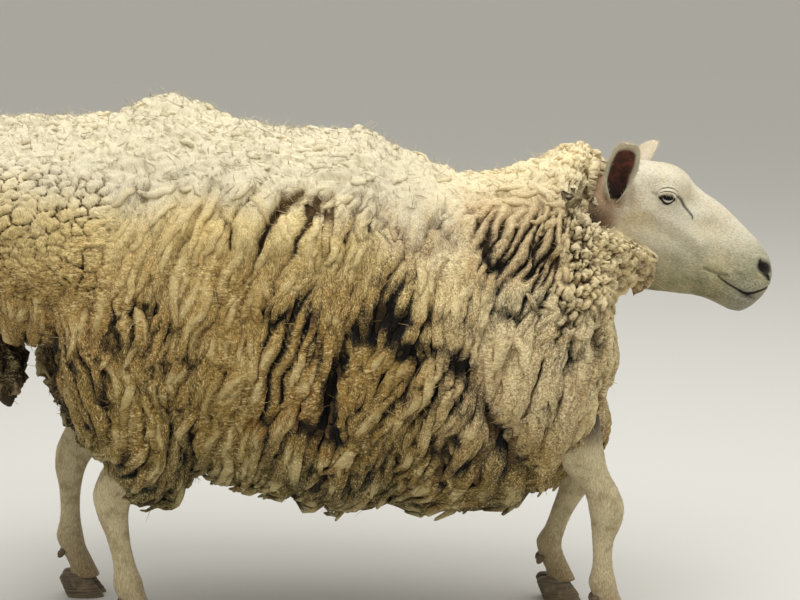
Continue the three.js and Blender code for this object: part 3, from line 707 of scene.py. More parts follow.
def limb_surface(rows, side, seed, long, around):
    """A woolly limb, from its top ring down."""
    angle = np.arange(around) / around * TAU
    rings = limb_rings(rows, side, angle)
    points = lofted(rings, long)
    kinds = {k: np.full(points.shape[:2], float(k == "flank")) for k in LENGTH}
    s = Surface(points)
    s.points = points + s.normals * (0.006 * noise(points, 0.10, seed))[..., None]
    s.normals = grid_normals(s.points)
    # ropes hang down the limb: its length takes the place of the body's girth
    steps = np.linalg.norm(np.roll(s.points, -1, 1) - s.points, axis=-1)
    down = np.cumsum(np.linalg.norm(np.gradient(s.points, axis=0), axis=-1), 0)
    return covered(s, np.cumsum(steps, 1) + 3 * seed, down, kinds)


@lru_cache(maxsize=None)
def breech_surfaces():
    """The woolly thighs and the tail."""
    return (
        limb_surface(BREECH_RIGHT, -1, 2, 130, 180),
        limb_surface(BREECH_LEFT, 1, 3, 130, 180),
        limb_surface(TAIL, 1, 4, 120, 110),
    )


def outer(s):
    """The matted surface's points: the envelope, sunk to the mat's floor and raised by its height."""
    return s.points + s.normals * s.fields["height"][..., None]


# ---------------------------------------------------------------- the head


def stroke(a, u, path, first, last=None):
    """1 on a line of (along, up) points, falling off as a bell; its width goes from first to last."""
    path, last = np.array(path), first if last is None else last
    near = np.full(a.shape, 99.0)
    for k, ((x0, y0), (x1, y1)) in enumerate(zip(path[:-1], path[1:])):
        dx, dy = x1 - x0, y1 - y0
        t = np.clip(((a - x0) * dx + (u - y0) * dy) / (dx * dx + dy * dy), 0, 1)
        width = first + (last - first) * (k + t) / (len(path) - 1)
        near = np.minimum(near, np.hypot(a - x0 - t * dx, u - y0 - t * dy) / width)
    return np.exp(-(near**2))


def dome(a, u, at, reach):
    """1 at a point, falling off as a bell over a reach along and up."""
    return np.exp(-(((a - at[0]) / reach[0]) ** 2) - ((u - at[1]) / reach[1]) ** 2)


MOUTH = (
    (0.1800, -0.0156), (0.1965, -0.0210), (0.2142, -0.0243), (0.2240, -0.0256), (0.2320, -0.0246),
    (0.2400, -0.0205), (0.2465, -0.0150), (0.2580, -0.0060),
)
CORNER = ((0.1560, -0.0112), (0.1716, -0.0123), (0.1830, -0.0120), (0.1915, -0.0096))
TEAR = (
    (0.0760, 0.0765), (0.0800, 0.0780), (0.0852, 0.0760), (0.0898, 0.0716), (0.0933, 0.0677),
    (0.1001, 0.0637), (0.1067, 0.0597), (0.1109, 0.0569), (0.1128, 0.0530),
)
# a groove before each ear and a dent behind each eye, both painted dark as shade
TEMPLE = ((0.000, 0.082), (0.009, 0.062), (0.017, 0.042))
REAR_CORNER = ((0.0560, 0.0715), (0.0490, 0.0706), (0.0425, 0.0704))


def features(points):
    """Masks over the head at points: nostril, mouth, tear line and creases, each 0 to 1."""
    a, y, u = np.moveaxis(to_head(points), -1, 0)
    sides = smooth(0.005, 0.011, np.abs(y))
    pit = np.exp(-((((a - 0.2405) / 0.0112) ** 2 + ((u - 0.0195 + 0.22 * (a - 0.2405)) / 0.0090) ** 2) ** 2))
    notch = stroke(a, u, ((0.2300, 0.0290), (0.2360, 0.0235)), 0.0014, 0.0030)
    tail = stroke(a, u, ((0.2450, 0.0130), (0.2505, 0.0090), (0.2540, 0.0040)), 0.0034, 0.0014)
    mouth = np.maximum(stroke(a, u, MOUTH[:5], 0.0010, 0.0024), stroke(a, u, MOUTH[4:], 0.0024, 0.0012))
    return {
        "pit": np.maximum(pit, np.maximum(notch, tail)) * sides,
        "mouth": mouth,
        "lip": np.exp(-(((a - 0.233) / 0.012) ** 2) - ((u + 0.0285) / 0.0038) ** 2),
        "corner": stroke(a, u, CORNER, 0.0018, 0.0028) + 0.8 * dome(a, u, (0.2065, -0.0008), (0.0052, 0.0022)),
        "tear": stroke(a, u, TEAR, 0.0028, 0.0013) * smooth(0.02, 0.03, np.abs(y)),
        "temple": stroke(a, u, TEMPLE, 0.0060, 0.0050) * smooth(0.02, 0.03, np.abs(y)),
        "rear": stroke(a, u, REAR_CORNER, 0.0040, 0.0018) * smooth(0.02, 0.03, np.abs(y)),
    }


# The head's forms: rise in metres, then for a bell its place and reach (along, up), or for a line its
# path and width.
BELLS = (
    (0.0042, (0.058, 0.098), (0.032, 0.011)), (0.0026, (0.064, 0.075), (0.027, 0.023)),
    (-0.0052, (0.104, 0.074), (0.018, 0.012)), (-0.0030, (0.034, 0.070), (0.012, 0.018)),
    (0.0054, (0.055, -0.030), (0.036, 0.030)), (-0.0036, (0.150, 0.050), (0.032, 0.013)),
    (-0.0044, (0.125, -0.030), (0.024, 0.017)), (0.0030, (0.168, -0.001), (0.013, 0.009)),
    (0.0024, (0.163, -0.023), (0.014, 0.008)), (0.0026, (0.213, 0.004), (0.014, 0.012)),
)
LINES = (
    (0.0046, ((0.052, 0.045), (0.100, 0.036), (0.138, 0.022)), 0.0100),
    (-0.0030, ((0.060, 0.020), (0.105, 0.012), (0.140, -0.002)), 0.0095),
    (-0.0020, ((0.184, 0.020), (0.1875, 0.0108), (0.1903, 0.0037)), 0.0024),
    (0.0022, ((0.222, 0.030), (0.231, 0.0345), (0.247, 0.034)), 0.0036),
    (0.0016, ((0.226, 0.024), (0.227, 0.014), (0.236, 0.006)), 0.0034),
)
LIPS = (
    (0.0016, ((0.195, -0.010), (0.225, -0.014), (0.246, -0.006)), 0.008),
    (0.0020, ((0.200, -0.036), (0.225, -0.040), (0.240, -0.037)), 0.007),
)
FEATURE_DEPTHS = {"pit": 0.0120, "mouth": 0.0042, "lip": 0.0014, "tear": 0.0017, "rear": 0.0008, "temple": 0.0034}


def sculpt(points, normals):
    """The head's forms: bells and lines raised or sunk along the normals, mirrored on both sides."""
    a, y, u = np.moveaxis(to_head(points), -1, 0)
    side = smooth(0.012, 0.03, np.abs(y))
    f = features(points)
    rise = sum(depth * dome(a, u, at, reach) for depth, at, reach in BELLS)
    rise = rise + sum(depth * stroke(a, u, path, width) for depth, path, width in LINES)
    rise = (rise - 0.0034 * f["corner"]) * side
    rise = rise + sum(depth * stroke(a, u, path, width) for depth, path, width in LIPS)
    rise = rise - sum(depth * f[name] for name, depth in FEATURE_DEPTHS.items())
    rise = rise - 0.0016 * np.exp(-((y / 0.0016) ** 2)) * smooth(0.236, 0.250, a) * band(u, -0.014, 0.016, 0.006)
    rise = rise + 0.0006 * (noise(points, 0.012, 51) * smooth(0.12, 0.2, a) + noise(points, 0.030, 52))
    for sign, root, *_ in EARS:  # low mounds from which the ears rise
        away = np.linalg.norm(np.stack([a - root[0] + 0.004, y - sign * (root[1] - 0.010), u - root[2]], -1), axis=-1)
        rise = rise + 0.002 * np.exp(-((away / 0.024) ** 2))
    return points + normals * rise[..., None]


HEAD_COLUMNS = 224


@lru_cache(maxsize=None)
def head_surface():
    """Neck and head in one closed grid, from inside the shoulders to the nose, forms included."""
    angle = -math.pi / 2 + np.arange(HEAD_COLUMNS) / HEAD_COLUMNS * TAU
    rings = np.concatenate([fan_rings(NECK, angle), head_rings(angle)])
    knots = ring_places(rings)
    start = knots[len(NECK)]
    at = np.concatenate([np.linspace(0, start, 24)[:-1], np.linspace(start, knots[-1], 214)])
    points = curve(knots, rings, at)
    # the bend where the neck's rings meet the head's is eased by averaging along the rows
    near = np.exp(-(((np.arange(len(at)) - 24) / 11) ** 2))[1:-1, None, None]
    for _ in range(60):
        points[1:-1] += near * ((points[:-2] + points[2:]) / 2 - points[1:-1])
    s = Surface(points)
    a, y, u = np.moveaxis(to_head(s.points), -1, 0)
    for sign in (-1, 1):
        away = np.hypot(a - EYE["along"], u - EYE["up"])
        beside = smooth(0.02, 0.04, sign * y)
        s.fields[sign] = beside * (1 - smooth(0.0125, 0.0185, away))
    s = with_points(s, sculpt(s.points, s.normals))
    s.fields["open"] = s.points
    hollow = (s.fields[-1] + s.fields[1])[..., None]
    s.fields["shut"] = s.points - s.normals * 0.011 * hollow
    return s


def with_points(s, points):
    """A surface moved to new points, its fields kept."""
    moved = Surface(points)
    moved.fields = s.fields
    return moved


def lid_patch(sign, around=96, steps=30):
    """Both lids of one eye: a polar grid walked out over the head from the eye's axis.

    Its inner edge is an almond on the eyeball; it bulges with the ball and dies away outside it.
    """
    s = head_surface()
    local = to_head(s.points)
    off = np.hypot(local[..., 0] - EYE["along"], local[..., 2] - EYE["up"]) + np.where(sign * local[..., 1] > 0, 0, 9)
    row, col = np.unravel_index(np.argmin(off), off.shape)
    phi = np.arange(around) / around * TAU * sign
    uv = np.tile(np.array([row, col], float), (around, 1))
    c, sn = np.cos(phi), np.sin(phi)
    # almond: longer in front, its front corner drawn down towards the tear line
    long = np.where(c > 0, EYE_LONG * 1.04, EYE_LONG)
    lifted = sn - 0.24 * c**2
    almond = 1 / np.sqrt((c / long) ** 2 + (lifted / np.where(lifted > 0, EYE_HIGH, EYE_LOW)) ** 2)
    almond = almond * (1 - 0.05 * np.exp(-((np.abs(c) - 0.75) / 0.2) ** 2)) * (1 + 0.10 * smooth(0.93, 1.0, np.abs(c)))
    tilt = math.radians(16)
    ahead = HEAD_AXES[0] * math.cos(tilt) + HEAD_AXES[2] * math.sin(tilt)
    above = HEAD_AXES[2] * math.cos(tilt) - HEAD_AXES[0] * math.sin(tilt)
    direction = c[:, None] * ahead + sn[:, None] * above
    outer_edge = 0.0245
    share = np.linspace(0, 1, steps) ** 1.25
    reach = almond + (outer_edge - almond) * share[:, None]
    skin, normals = [], []
    strides = np.diff(reach, axis=0, prepend=0) / 4
    for stride in strides:
        for _ in range(4):
            uv = uv + s.step(uv, direction) * stride[:, None]
        skin.append(s.read(s.points, uv))
        normals.append(unit(s.read(s.normals, uv)))
    skin, normals = np.array(skin), np.array(normals)
    centre = from_head([EYE["along"], sign * EYE["out"], EYE["up"]])
    axis = unit(HEAD_AXES[1] * sign + 0.10 * HEAD_AXES[0])
    margin = (reach - almond) / 0.001  # millimetres from the lid's edge
    off_axis = (skin - centre) - ((skin - centre) @ axis)[..., None] * axis
    r = np.linalg.norm(off_axis, axis=-1)
    ball = np.sqrt(np.maximum((EYE["radius"] + 0.0004) ** 2 - r**2, 0.0))
    upper = smooth(-0.1, 0.5, sn)
    over = ball - (skin - centre) @ axis  # the ball's height over the skin, beside the axis
    thick = over + 0.0016 + 0.0008 * upper
    skirt = 0.0034 * np.exp(-((reach / 0.0145) ** 2))
    draped = skirt + 0.5 * (thick - skirt + np.sqrt((thick - skirt) ** 2 + 0.0026**2)) - 0.0003
    height = over + (draped - over) * smooth(0, 1.7, margin) + 0.0001
    height = height * (1 - smooth(0.0150, 0.0240, reach))
    points = skin + axis * height[..., None]
    wide_lid = 1 - 0.75 * smooth(0.35, 0.95, np.abs(c))
    crease = np.exp(-(((margin - 6.6) / 0.65) ** 2)) * upper * wide_lid
    fold = (np.exp(-(((margin - 8.6) / 1.2) ** 2)) + 1.2 * np.exp(-(((margin - 4.0) / 1.7) ** 2))) * upper * wide_lid
    bag = np.exp(-(((margin - 4.6) / 0.9) ** 2)) * smooth(0.2, 0.7, -sn)
    points = points + normals * (0.0008 * fold - 0.0015 * crease - 0.0005 * bag)[..., None]
    points = points + normals * (0.0002 - 0.0008 * smooth(0.0232, 0.0245, reach))[..., None]
    rim = 1 - smooth(1.3 + 0.5 * upper, 2.7 + 0.5 * upper, margin)
    # the crease above the upper lid is painted dark as shade, besides the dark rim
    rim = np.maximum(rim, 0.80 * crease)
    return points, rim


def ear_grid(sign, root, point, opening, long=66, arc=36):
    """One ear: a cupped leaf. Each ring is an outer arc and, inside it, a shallower arc back.

    The half width swells from the root and comes to a tip; the cup shallows towards the tip. At the
    root the leaf curls on past a half circle, so that its edges come together in a notch.
    """
    root = np.array([root[0], sign * root[1], root[2]])
    point = unit(np.array([point[0], sign * point[1], point[2]]))
    opening = np.array([opening[0], sign * opening[1], opening[2]])
    opening = unit(opening - point * (opening @ point))
    across = np.cross(point, opening) * sign
    t = np.linspace(-0.06, 1, long)[:, None]
    leaf = np.maximum(np.sin(math.pi * (0.16 + 0.84 * np.clip(t, 0, 1))), 0) ** 0.29
    swell = smooth(0.05, 0.70, t)
    half = EAR["half"] * (0.66 + (np.maximum(leaf, 0.03) - 0.66) * swell)
    depth = EAR["cup"] * (1.25 + (0.30 - 1.25) * t) * np.where(t > 0.9, 1 - 0.5 * smooth(0.9, 1, t), 1)
    taper = 0.5 + 0.5 * smooth(-0.06, 0.20, t)
    half, depth = half * taper, depth * taper
    opened = smooth(0.08, 0.46, t)
    theta = np.arange(2 * arc) / (2 * arc) * TAU
    back = theta > math.pi
    fold = np.where(back, TAU - theta, theta)
    curl = 1 + 0.82 * (1 - smooth(0.10, 0.48, t))
    turn, last = (math.pi / 2 - fold) * curl, math.pi / 2 * curl
    hollow = 0.22 * depth + (0.78 * depth - EAR["wall"]) * opened
    width = np.sin(turn) * np.where(back, np.maximum(half - EAR["wall"] * 0.8, 0.35 * half), half)
    dip = np.where(back, -np.cos(last) * depth - (np.cos(turn) - np.cos(last)) * hollow, -np.cos(turn) * depth)
    ripple = 0.0016 * np.sin(9 * t + 2 * np.cos(fold)) * smooth(0.3, 0.8, t) * np.cos(fold) ** 2
    roll = 0.004 * smooth(0.2, 0.8, t) * (1 - smooth(0.8, 1.0, t)) * np.maximum(np.cos(fold), 0) ** 3
    centre = root + (t * EAR["length"])[..., None] * point - (EAR["bend"] * t * np.abs(t))[..., None] * opening
    local = centre + width[..., None] * across + (dip + ripple - roll)[..., None] * opening
    inside = np.clip(2 * np.sin(fold) - 0.3 - 1.9 * smooth(0.78, 0.98, t), 0, 1)
    inner = np.where(back, inside, 0) * smooth(0.07, 0.13, t)
    rim = np.exp(-((np.sin(fold) / 0.50) ** 4)) * smooth(0.0, 0.2, t)
    grid = from_head(local)
    return *outward(grid - grid.mean(1, keepdims=True), grid, inner, rim), t


# ---------------------------------------------------------------- strands laid over surfaces


def lie(p, n, back=0.28):
    """The way wool hangs at points with normals n: down, leaning back, and outwards on top."""
    d = np.zeros_like(p)
    d[..., 2] = -1
    d[..., 0] = -back
    d[..., 1] = 0.5 * np.sign(p[..., 1]) * smooth(0.6, 0.95, n[..., 2])
    d[..., 0] -= 0.8 * smooth(0.6, 0.95, np.abs(n[..., 2]))
    d = d - n * (d * n).sum(-1, keepdims=True)
    return unit(d)


def turned(d, n, angle):
    """Directions turned about the normals."""
    return d * np.cos(angle)[..., None] + np.cross(n, d) * np.sin(angle)[..., None]


def trace(s, uv, length, steps, heading, lift, base):
    """Paths walked over a surface from uv: points (paths, steps, 3), normals, and tone under them.

    heading(p, n, t) gives the direction; lift(t) is the height above the base points.
    """
    points, normals, tones = [], [], []
    n = unit(s.read(s.normals, uv))
    for k in range(steps):
        t = k / (steps - 1)
        p = s.read(base, uv)
        n = unit(s.read(s.normals, uv))
        points.append(p + n * lift(t)[:, None])
        normals.append(n)
        tones.append(s.read(s.fields["tone"], uv) if "tone" in s.fields else np.ones(len(uv)))
        move = s.step(uv, heading(p, n, t)) * (length / (steps - 1))[:, None]
        uv = uv + np.clip(move, -12, 12)
        uv[:, 0] = np.clip(uv[:, 0], 0, base.shape[0] - 1.01)
    return np.stack(points, 1), np.stack(normals, 1), np.stack(tones, 1)


def strand_mesh(parts, points, normals, width, thick, sides, root_uv, tone, hue, shape=0.5, lumps=None):
    """Adds tapering closed strands: rings of an ellipse carried along each path, pointed at both ends.

    width and thick are half sizes (paths,) or (paths, steps); tone is per point, hue per strand;
    lumps (paths, steps, sides) swells or shrinks each corner.
    """
    count, steps = points.shape[:2]
    t = np.linspace(0, 1, steps)
    swell = np.sin(math.pi * np.clip(0.10 + 0.82 * t, 0, 1)) ** shape
    swell[-1] *= 0.75
    width, thick = (
        np.broadcast_to(v[:, None] if np.ndim(v) == 1 else v, (count, steps)) * swell for v in (width, thick)
    )
    tangent = unit(np.gradient(points, axis=1))
    across = unit(np.cross(tangent, normals))
    up = np.cross(across, tangent)
    angle = np.arange(sides) / sides * TAU + math.pi / 2
    swelled = np.ones((1, 1, sides)) if lumps is None else 1 + lumps
    ring = (
        points[:, :, None]
        + across[:, :, None] * (np.cos(angle) * width[..., None] * swelled)[..., None]
        + up[:, :, None] * (np.sin(angle) * thick[..., None] * swelled)[..., None]
    )
    reach = np.linalg.norm(points[:, -1] - points[:, -2], axis=-1, keepdims=True)
    tip = points[:, -1] + tangent[:, -1] * np.minimum(reach * 0.8, width[:, -1:] * 0.9)
    root = points[:, 0] - tangent[:, 0] * thick[:, :1]
    each = steps * sides + 2
    corners = np.concatenate([ring.reshape(count, -1, 3), root[:, None], tip[:, None]], 1)
    i, j = np.meshgrid(np.arange(steps - 1), np.arange(sides), indexing="ij")
    k = (j + 1) % sides
    quads = np.stack([i * sides + j, (i + 1) * sides + j, (i + 1) * sides + k, i * sides + k], -1).reshape(-1, 4)
    quad_t = np.stack([i, i + 1, i + 1, i], -1).reshape(-1, 4) / (steps - 1)
    quad_v = np.stack([j, j, j + 1, j + 1], -1).reshape(-1, 4) / sides
    j = np.arange(sides)
    k = (j + 1) % sides
    last = (steps - 1) * sides
    tris = np.concatenate(
        [
            np.stack([np.full(sides, each - 2), j, k], -1),
            np.stack([last + j, np.full(sides, each - 1), last + k], -1),
        ]
    )
    tri_t = np.concatenate([np.zeros((sides, 3)), np.ones((sides, 3))])
    tri_v = np.concatenate([np.stack([j + 0.5, j, j + 1.0], -1), np.stack([j, j + 0.5, j + 1.0], -1)]) / sides
    offset = np.arange(count)[:, None, None] * each + parts.count
    chance = hue[:, None, None]
    total = np.linalg.norm(np.diff(points, axis=1), axis=-1).sum(1)[:, None, None]
    values = np.concatenate([np.repeat(tone, sides, 1), tone[:, :1], tone[:, -1:]], 1).ravel()
    hues = np.repeat(hue, each)
    parts.points.append(corners.reshape(-1, 3))
    parts.count += count * each
    parts.values["tone"].append(values)
    parts.values["hue"].append(hues)
    for faces, ft, fv in ((quads, quad_t, quad_v), (tris, tri_t, tri_v)):
        parts.faces.append((faces[None] + offset).reshape(-1, faces.shape[1]))
        where = root_uv[:, None, None, :] + 0.003 * (np.stack([ft, fv], -1)[None] - 0.5)
        parts.unwrap.append(where.reshape(-1, faces.shape[1], 2))
        along, round_it = ft[None] * total + 3 * chance, np.broadcast_to(fv, (count, *fv.shape)) + 7 * chance
        strand = np.stack([along, round_it], -1)
        parts.strand.append(strand.reshape(-1, faces.shape[1], 2))


def sow(s, count, rng, weight=None):
    """Places on a surface, as uv, evenly by area (times a weight), in a fixed random order."""
    area = np.linalg.norm(np.cross(s.along, s.around), axis=-1)
    if weight is not None:
        area = area * weight
    total = np.cumsum(area.ravel())
    even = (np.arange(count) + rng.random(count)) / count * total[-1]
    flat = np.clip(np.searchsorted(total, even), 0, area.size - 1)
    rng.shuffle(flat)
    row, col = np.divmod(flat, area.shape[1])
    uv = np.stack([row, col], -1) + rng.random((count, 2)) - 0.5
    uv[:, 0] = np.clip(uv[:, 0], 0, area.shape[0] - 1.01)
    return uv


def buried(p, s, deep=0.004, stride=8):
    """Whether points lie deeper than this inside a surface, by the nearest of its grid points."""
    q, n = s.points[::stride, ::stride], s.normals[::stride, ::stride].reshape(-1, 3)
    last, across = q.shape[0] - 1, q.shape[1]
    q = q.reshape(-1, 3)
    inside = np.zeros(len(p), bool)
    for start in range(0, len(p), 2000):
        chunk = p[start : start + 2000]
        k = ((chunk[:, None] - q[None]) ** 2).sum(-1).argmin(1)
        within = (k // across > 0) & (k // across < last)
        inside[start : start + 2000] = within & (((chunk - q[k]) * n[k]).sum(-1) < -deep)
    return inside


UNWRAP_BODY = (0.02, 0.02, 0.60, 0.98)
UNWRAP_HEAD = (0.62, 0.50, 0.98, 0.98)
UNWRAP_LIMBS = [(0.62, 0.02 + 0.07 * k, 0.98, 0.08 + 0.07 * k) for k in range(6)]


def placed(s, uv, patch):
    """Where surface places lie on the skin's unwrap."""
    n, m = s.points.shape[:2]
    share = np.stack([uv[:, 0] / (n - 1), (uv[:, 1] % m) / m], -1)
    return np.array(patch[:2]) + share * (np.array(patch[2:]) - np.array(patch[:2]))


# ---------------------------------------------------------------- materials


def colour(r, g, b):
    """A colour as seen on screen, 0 to 255, as the linear one that shaders take."""
    seen = np.array([r, g, b]) / 255
    linear = np.where(seen < 0.04045, seen / 12.92, ((seen + 0.055) / 1.055) ** 2.4)
    return tuple(float(v) for v in linear) + (1.0,)


class Wire:
    """The output of a node. Arithmetic on it adds Math nodes."""

    def __init__(self, shader, socket):
        self.shader, self.socket = shader, socket

    def math(self, operation, *values):
        return self.shader.node("ShaderNodeMath", {"operation": operation}, *values)

    def __add__(self, other):
        return self.math("ADD", self, other)

    def __sub__(self, other):
        return self.math("SUBTRACT", self, other)

    def __rsub__(self, other):
        return self.math("SUBTRACT", other, self)

    def __mul__(self, other):
        return self.math("MULTIPLY", self, other)

    def __truediv__(self, other):
        return self.math("DIVIDE", self, other)

    def __pow__(self, other):
        return self.math("POWER", self, other)

    __radd__, __rmul__ = __add__, __mul__


class Shader:
    """A material under way: its node tree, and short ways to add to it."""

    def __init__(self, name):
        self.material = bpy.data.materials.new(name)
        self.material.use_nodes = True
        self.tree = self.material.node_tree
        self.tree.nodes.clear()
        self.surface = self.tree.nodes.new("ShaderNodeBsdfPrincipled")
        output = self.tree.nodes.new("ShaderNodeOutputMaterial")
        self.tree.links.new(self.surface.outputs[0], output.inputs[0])

    def plug(self, socket, value):
        if isinstance(value, Wire):
            self.tree.links.new(value.socket, socket)
        elif value is not None:
            socket.default_value = value

    def node(self, kind, settings, *values, out=0, **named):
        """Adds a node: its settings first, then its sockets in order or by name."""
        node = self.tree.nodes.new(kind)
        for key, value in settings.items():
            setattr(node, key, value)
        for socket, value in zip(node.inputs, values):
            self.plug(socket, value)
        for key, value in named.items():
            self.plug(node.inputs[key.replace("_", " ")], value)
        return Wire(self, node.outputs[out])

    def place(self):
        return self.node("ShaderNodeTexCoord", {}, out="Object")

    def axes(self, vector):
        """The x, y and z of a vector."""
        outputs = self.node("ShaderNodeSeparateXYZ", {}, vector).socket.node.outputs
        return [Wire(self, socket) for socket in outputs]

    def along(self, vector, directions, scales):
        """A place measured along three directions, each with its own scale."""
        found = [
            self.node("ShaderNodeVectorMath", {"operation": "DOT_PRODUCT"}, vector, tuple(d * k), out=1)
            for d, k in zip(directions, scales)
        ]
        return self.node("ShaderNodeCombineXYZ", {}, *found)

    def attribute(self, name):
        return self.node("ShaderNodeAttribute", {"attribute_name": name}, out="Fac")

    def noise(self, vector, scale, detail=3.0, rough=0.55, bent=0.0):
        return self.node(
            "ShaderNodeTexNoise", {}, Vector=vector, Scale=scale, Detail=detail, Roughness=rough, Distortion=bent
        )

    def stretched(self, vector, scale):
        return self.node("ShaderNodeVectorMath", {"operation": "MULTIPLY"}, vector, scale)

    def ramp(self, value, low, high):
        """0 at low, 1 at high, an S between."""
        return self.node(
            "ShaderNodeMapRange", {"interpolation_type": "SMOOTHSTEP", "clamp": True}, value, low, high, 0.0, 1.0
        )

    def mix(self, share, a, b, blend="MIX"):
        node = self.tree.nodes.new("ShaderNodeMix")
        node.data_type, node.blend_type = "RGBA", blend
        for index, value in ((0, share), (6, a), (7, b)):
            self.plug(node.inputs[index], value)
        return Wire(self, node.outputs[2])

    def layers(self, base, *coats):
        """Colours laid one after another over a base, each by its own share."""
        for share, tint in coats:
            base = self.mix(share, base, tint)
        return base

    def bump(self, height, distance, strength=1.0, under=None):
        node = self.tree.nodes.new("ShaderNodeBump")
        node.inputs["Strength"].default_value = strength
        node.inputs["Distance"].default_value = distance
        self.plug(node.inputs["Height"], height)
        self.plug(node.inputs["Normal"], under)
        return Wire(self, node.outputs[0])

    def finish(self, **sockets):
        for key, value in sockets.items():
            self.plug(self.surface.inputs[key.replace("_", " ")], value)
        return self.material


def fleece_markings(sh, spot, x, y, z, colours):
    """The fleece's colour by place: cream on top, tan on the sides, olive below, partly the wool's own weathering and
    partly painted light from above, and painted shade between the legs.
    """
    drift, fine = sh.noise(spot, 5.0, 3.0) - 0.5, sh.noise(spot, 26.0, 3.0) - 0.5
    # level sets the cream-to-olive steps from top to bottom: partly the wool's own bleaching and soiling, partly
    # painted light from above and painted shade below
    level = z + 0.22 * drift + 0.06 * fine + 0.07 * sh.ramp(x, 0.02, 0.16)
    front = sh.ramp(x, 0.06, 0.26) * sh.ramp(level, 0.32, 0.50)
    folds = sh.ramp(x, 0.15, 0.20) * sh.ramp(x, 0.35, 0.30) * sh.ramp(z, 0.55, 0.59) * sh.ramp(z, 0.71, 0.67)
    stained = sh.ramp(drift + 0.5 * fine, 0.04, 0.26) * sh.ramp(z, 0.74, 0.64)
    # painted shade between the legs, under the belly and on the inner thighs
    under = sh.ramp((y * y) ** 0.5, 0.19, 0.09) * sh.ramp(z, 0.56, 0.44) * sh.ramp(x, 0.36, 0.25)
    return sh.layers(
        tuple(colours.wool_low),
        (sh.ramp(level, 0.24, 0.42), colour(174, 146, 80)),
        (sh.ramp(level, 0.40, 0.58), tuple(colours.wool_side)),
        (sh.ramp(level, 0.53, 0.65), colour(230, 206, 142)),
        (sh.ramp(level, 0.63, 0.74), tuple(colours.wool_top)),
        (front * 0.85, colour(246, 230, 186)),
        (folds * 0.55, colour(198, 164, 110)),
        (stained * 0.5, tuple(colours.stain)),
        # painted shade between the legs
        (under * 0.85, colour(54, 42, 24)),
    )


def fleece_material(name, on_strands, colours):
    """Wool: markings with painted shade in the crevices, lighter on top where light falls, painted highlights on lit
    fibres and on ridge tops and lock tips, fine fibres and cross crimp, soft and matt.
    """
    sh = Shader(name)
    spot = sh.place()
    x, y, z = sh.axes(spot)
    tone = sh.attribute("tone")
    base = fleece_markings(sh, spot, x, y, z, colours)
    if on_strands:
        threads = sh.stretched(sh.node("ShaderNodeUVMap", {"uv_map": "Strand"}), (300.0, 15.0, 1.0))
    else:
        threads = sh.stretched(spot, (520.0, 520.0, 190.0))
    fibre = sh.noise(threads, 1.0, 4.0, 0.65, 0.7)
    crimp = sh.noise(sh.stretched(spot, (130.0, 130.0, 340.0)), 1.0, 4.0, 0.65, 1.2)
    # fine noise that breaks up the painted crevice shade and roughens the bump
    shade_speckle = sh.noise(spot, 90.0, 3.0, 0.6)
    across = sh.ramp(sh.noise(spot, 9.0, 2.0), 0.46, 0.64)
    thread = fibre + across * (crimp - fibre)
    # lit: 1 out of the crevices, 0 in their painted shade
    lit = sh.ramp(tone + 0.34 * (thread - 0.5) + 0.20 * (shade_speckle - 0.5), 0.18, 0.64)
    top = sh.ramp(z, 0.57, 0.75)
    top = top.math("MAXIMUM", top, sh.ramp(x, 0.28, 0.34) * sh.ramp(z, 0.48, 0.56) * 0.8)
    # deep: the crevices' painted shade, nearly black below and lighter brown on top and on the throat wool, where light
    # falls from above
    deep = sh.mix(top, colour(17, 11, 5), colour(108, 84, 48))
    shade = sh.mix(lit, deep, base)
    if on_strands:
        hue = sh.attribute("hue")
        shade = sh.mix(sh.ramp(hue, 0.1, 1.0) * 0.25, shade, colour(247, 238, 212), "MULTIPLY")
        shade = sh.mix(sh.ramp(hue, 0.62, 1.0) * (0.25 - 0.15 * top), shade, colour(186, 150, 92))
    shade = sh.mix((0.74 - 0.56 * top) * sh.ramp(thread, 0.60, 0.38), shade, colour(118, 88, 46), "MULTIPLY")
    # painted highlights on the lit fibres
    shade = sh.mix((0.56 - 0.36 * top) * sh.ramp(thread, 0.53, 0.66) * lit, shade, colour(254, 240, 194))
    # painted highlight on rope tops and lock tips
    shade = sh.mix((0.36 - 0.31 * top) * sh.ramp(tone, 0.72, 1.0), shade, colour(246, 228, 170))
    normal = sh.bump((thread + 0.5 * shade_speckle) * (1.0 - 0.45 * top), 0.0035, 0.9)
    return sh.finish(
        Base_Color=shade, Roughness=0.92, Normal=normal, Sheen_Weight=0.05, Sheen_Roughness=0.6, Specular_IOR_Level=0.15
    )


def short_hair(sh, spot, z, colours):
    """The colour of the short hair by place: white face, the jaw greyer and greener and the chin darker as painted
    shade with a greenish painted reflection, fawn legs; and its soft mottling.
    """
    mottle = sh.noise(spot, 45.0, 4.0, 0.6)
    warm = sh.ramp(sh.noise(spot, 17.0, 2.0), 0.42, 0.66)
    face = sh.layers(
        # the jaw's colour is painted shade with a greenish painted reflection; the face above it is lighter
        tuple(colours.jaw),
        (sh.ramp(z + 0.05 * (mottle - 0.5), 0.548, 0.640), tuple(colours.face)),
        # painted shadow under the chin
        (sh.ramp(z, 0.566, 0.524) * 0.75, colour(84, 84, 58)),
        (warm * 0.35, colour(216, 200, 156)),
        (sh.ramp(mottle, 0.50, 0.72) * 0.30, colour(186, 172, 140)),
    )
    shank = sh.layers(
        tuple(colours.shank),
        (sh.ramp(mottle, 0.40, 0.70) * 0.7, colour(150, 132, 96)),
        (sh.ramp(z + 0.10 * (mottle - 0.5), 0.15, 0.03) * 0.65, colour(124, 100, 66)),
    )
    return face, shank, mottle


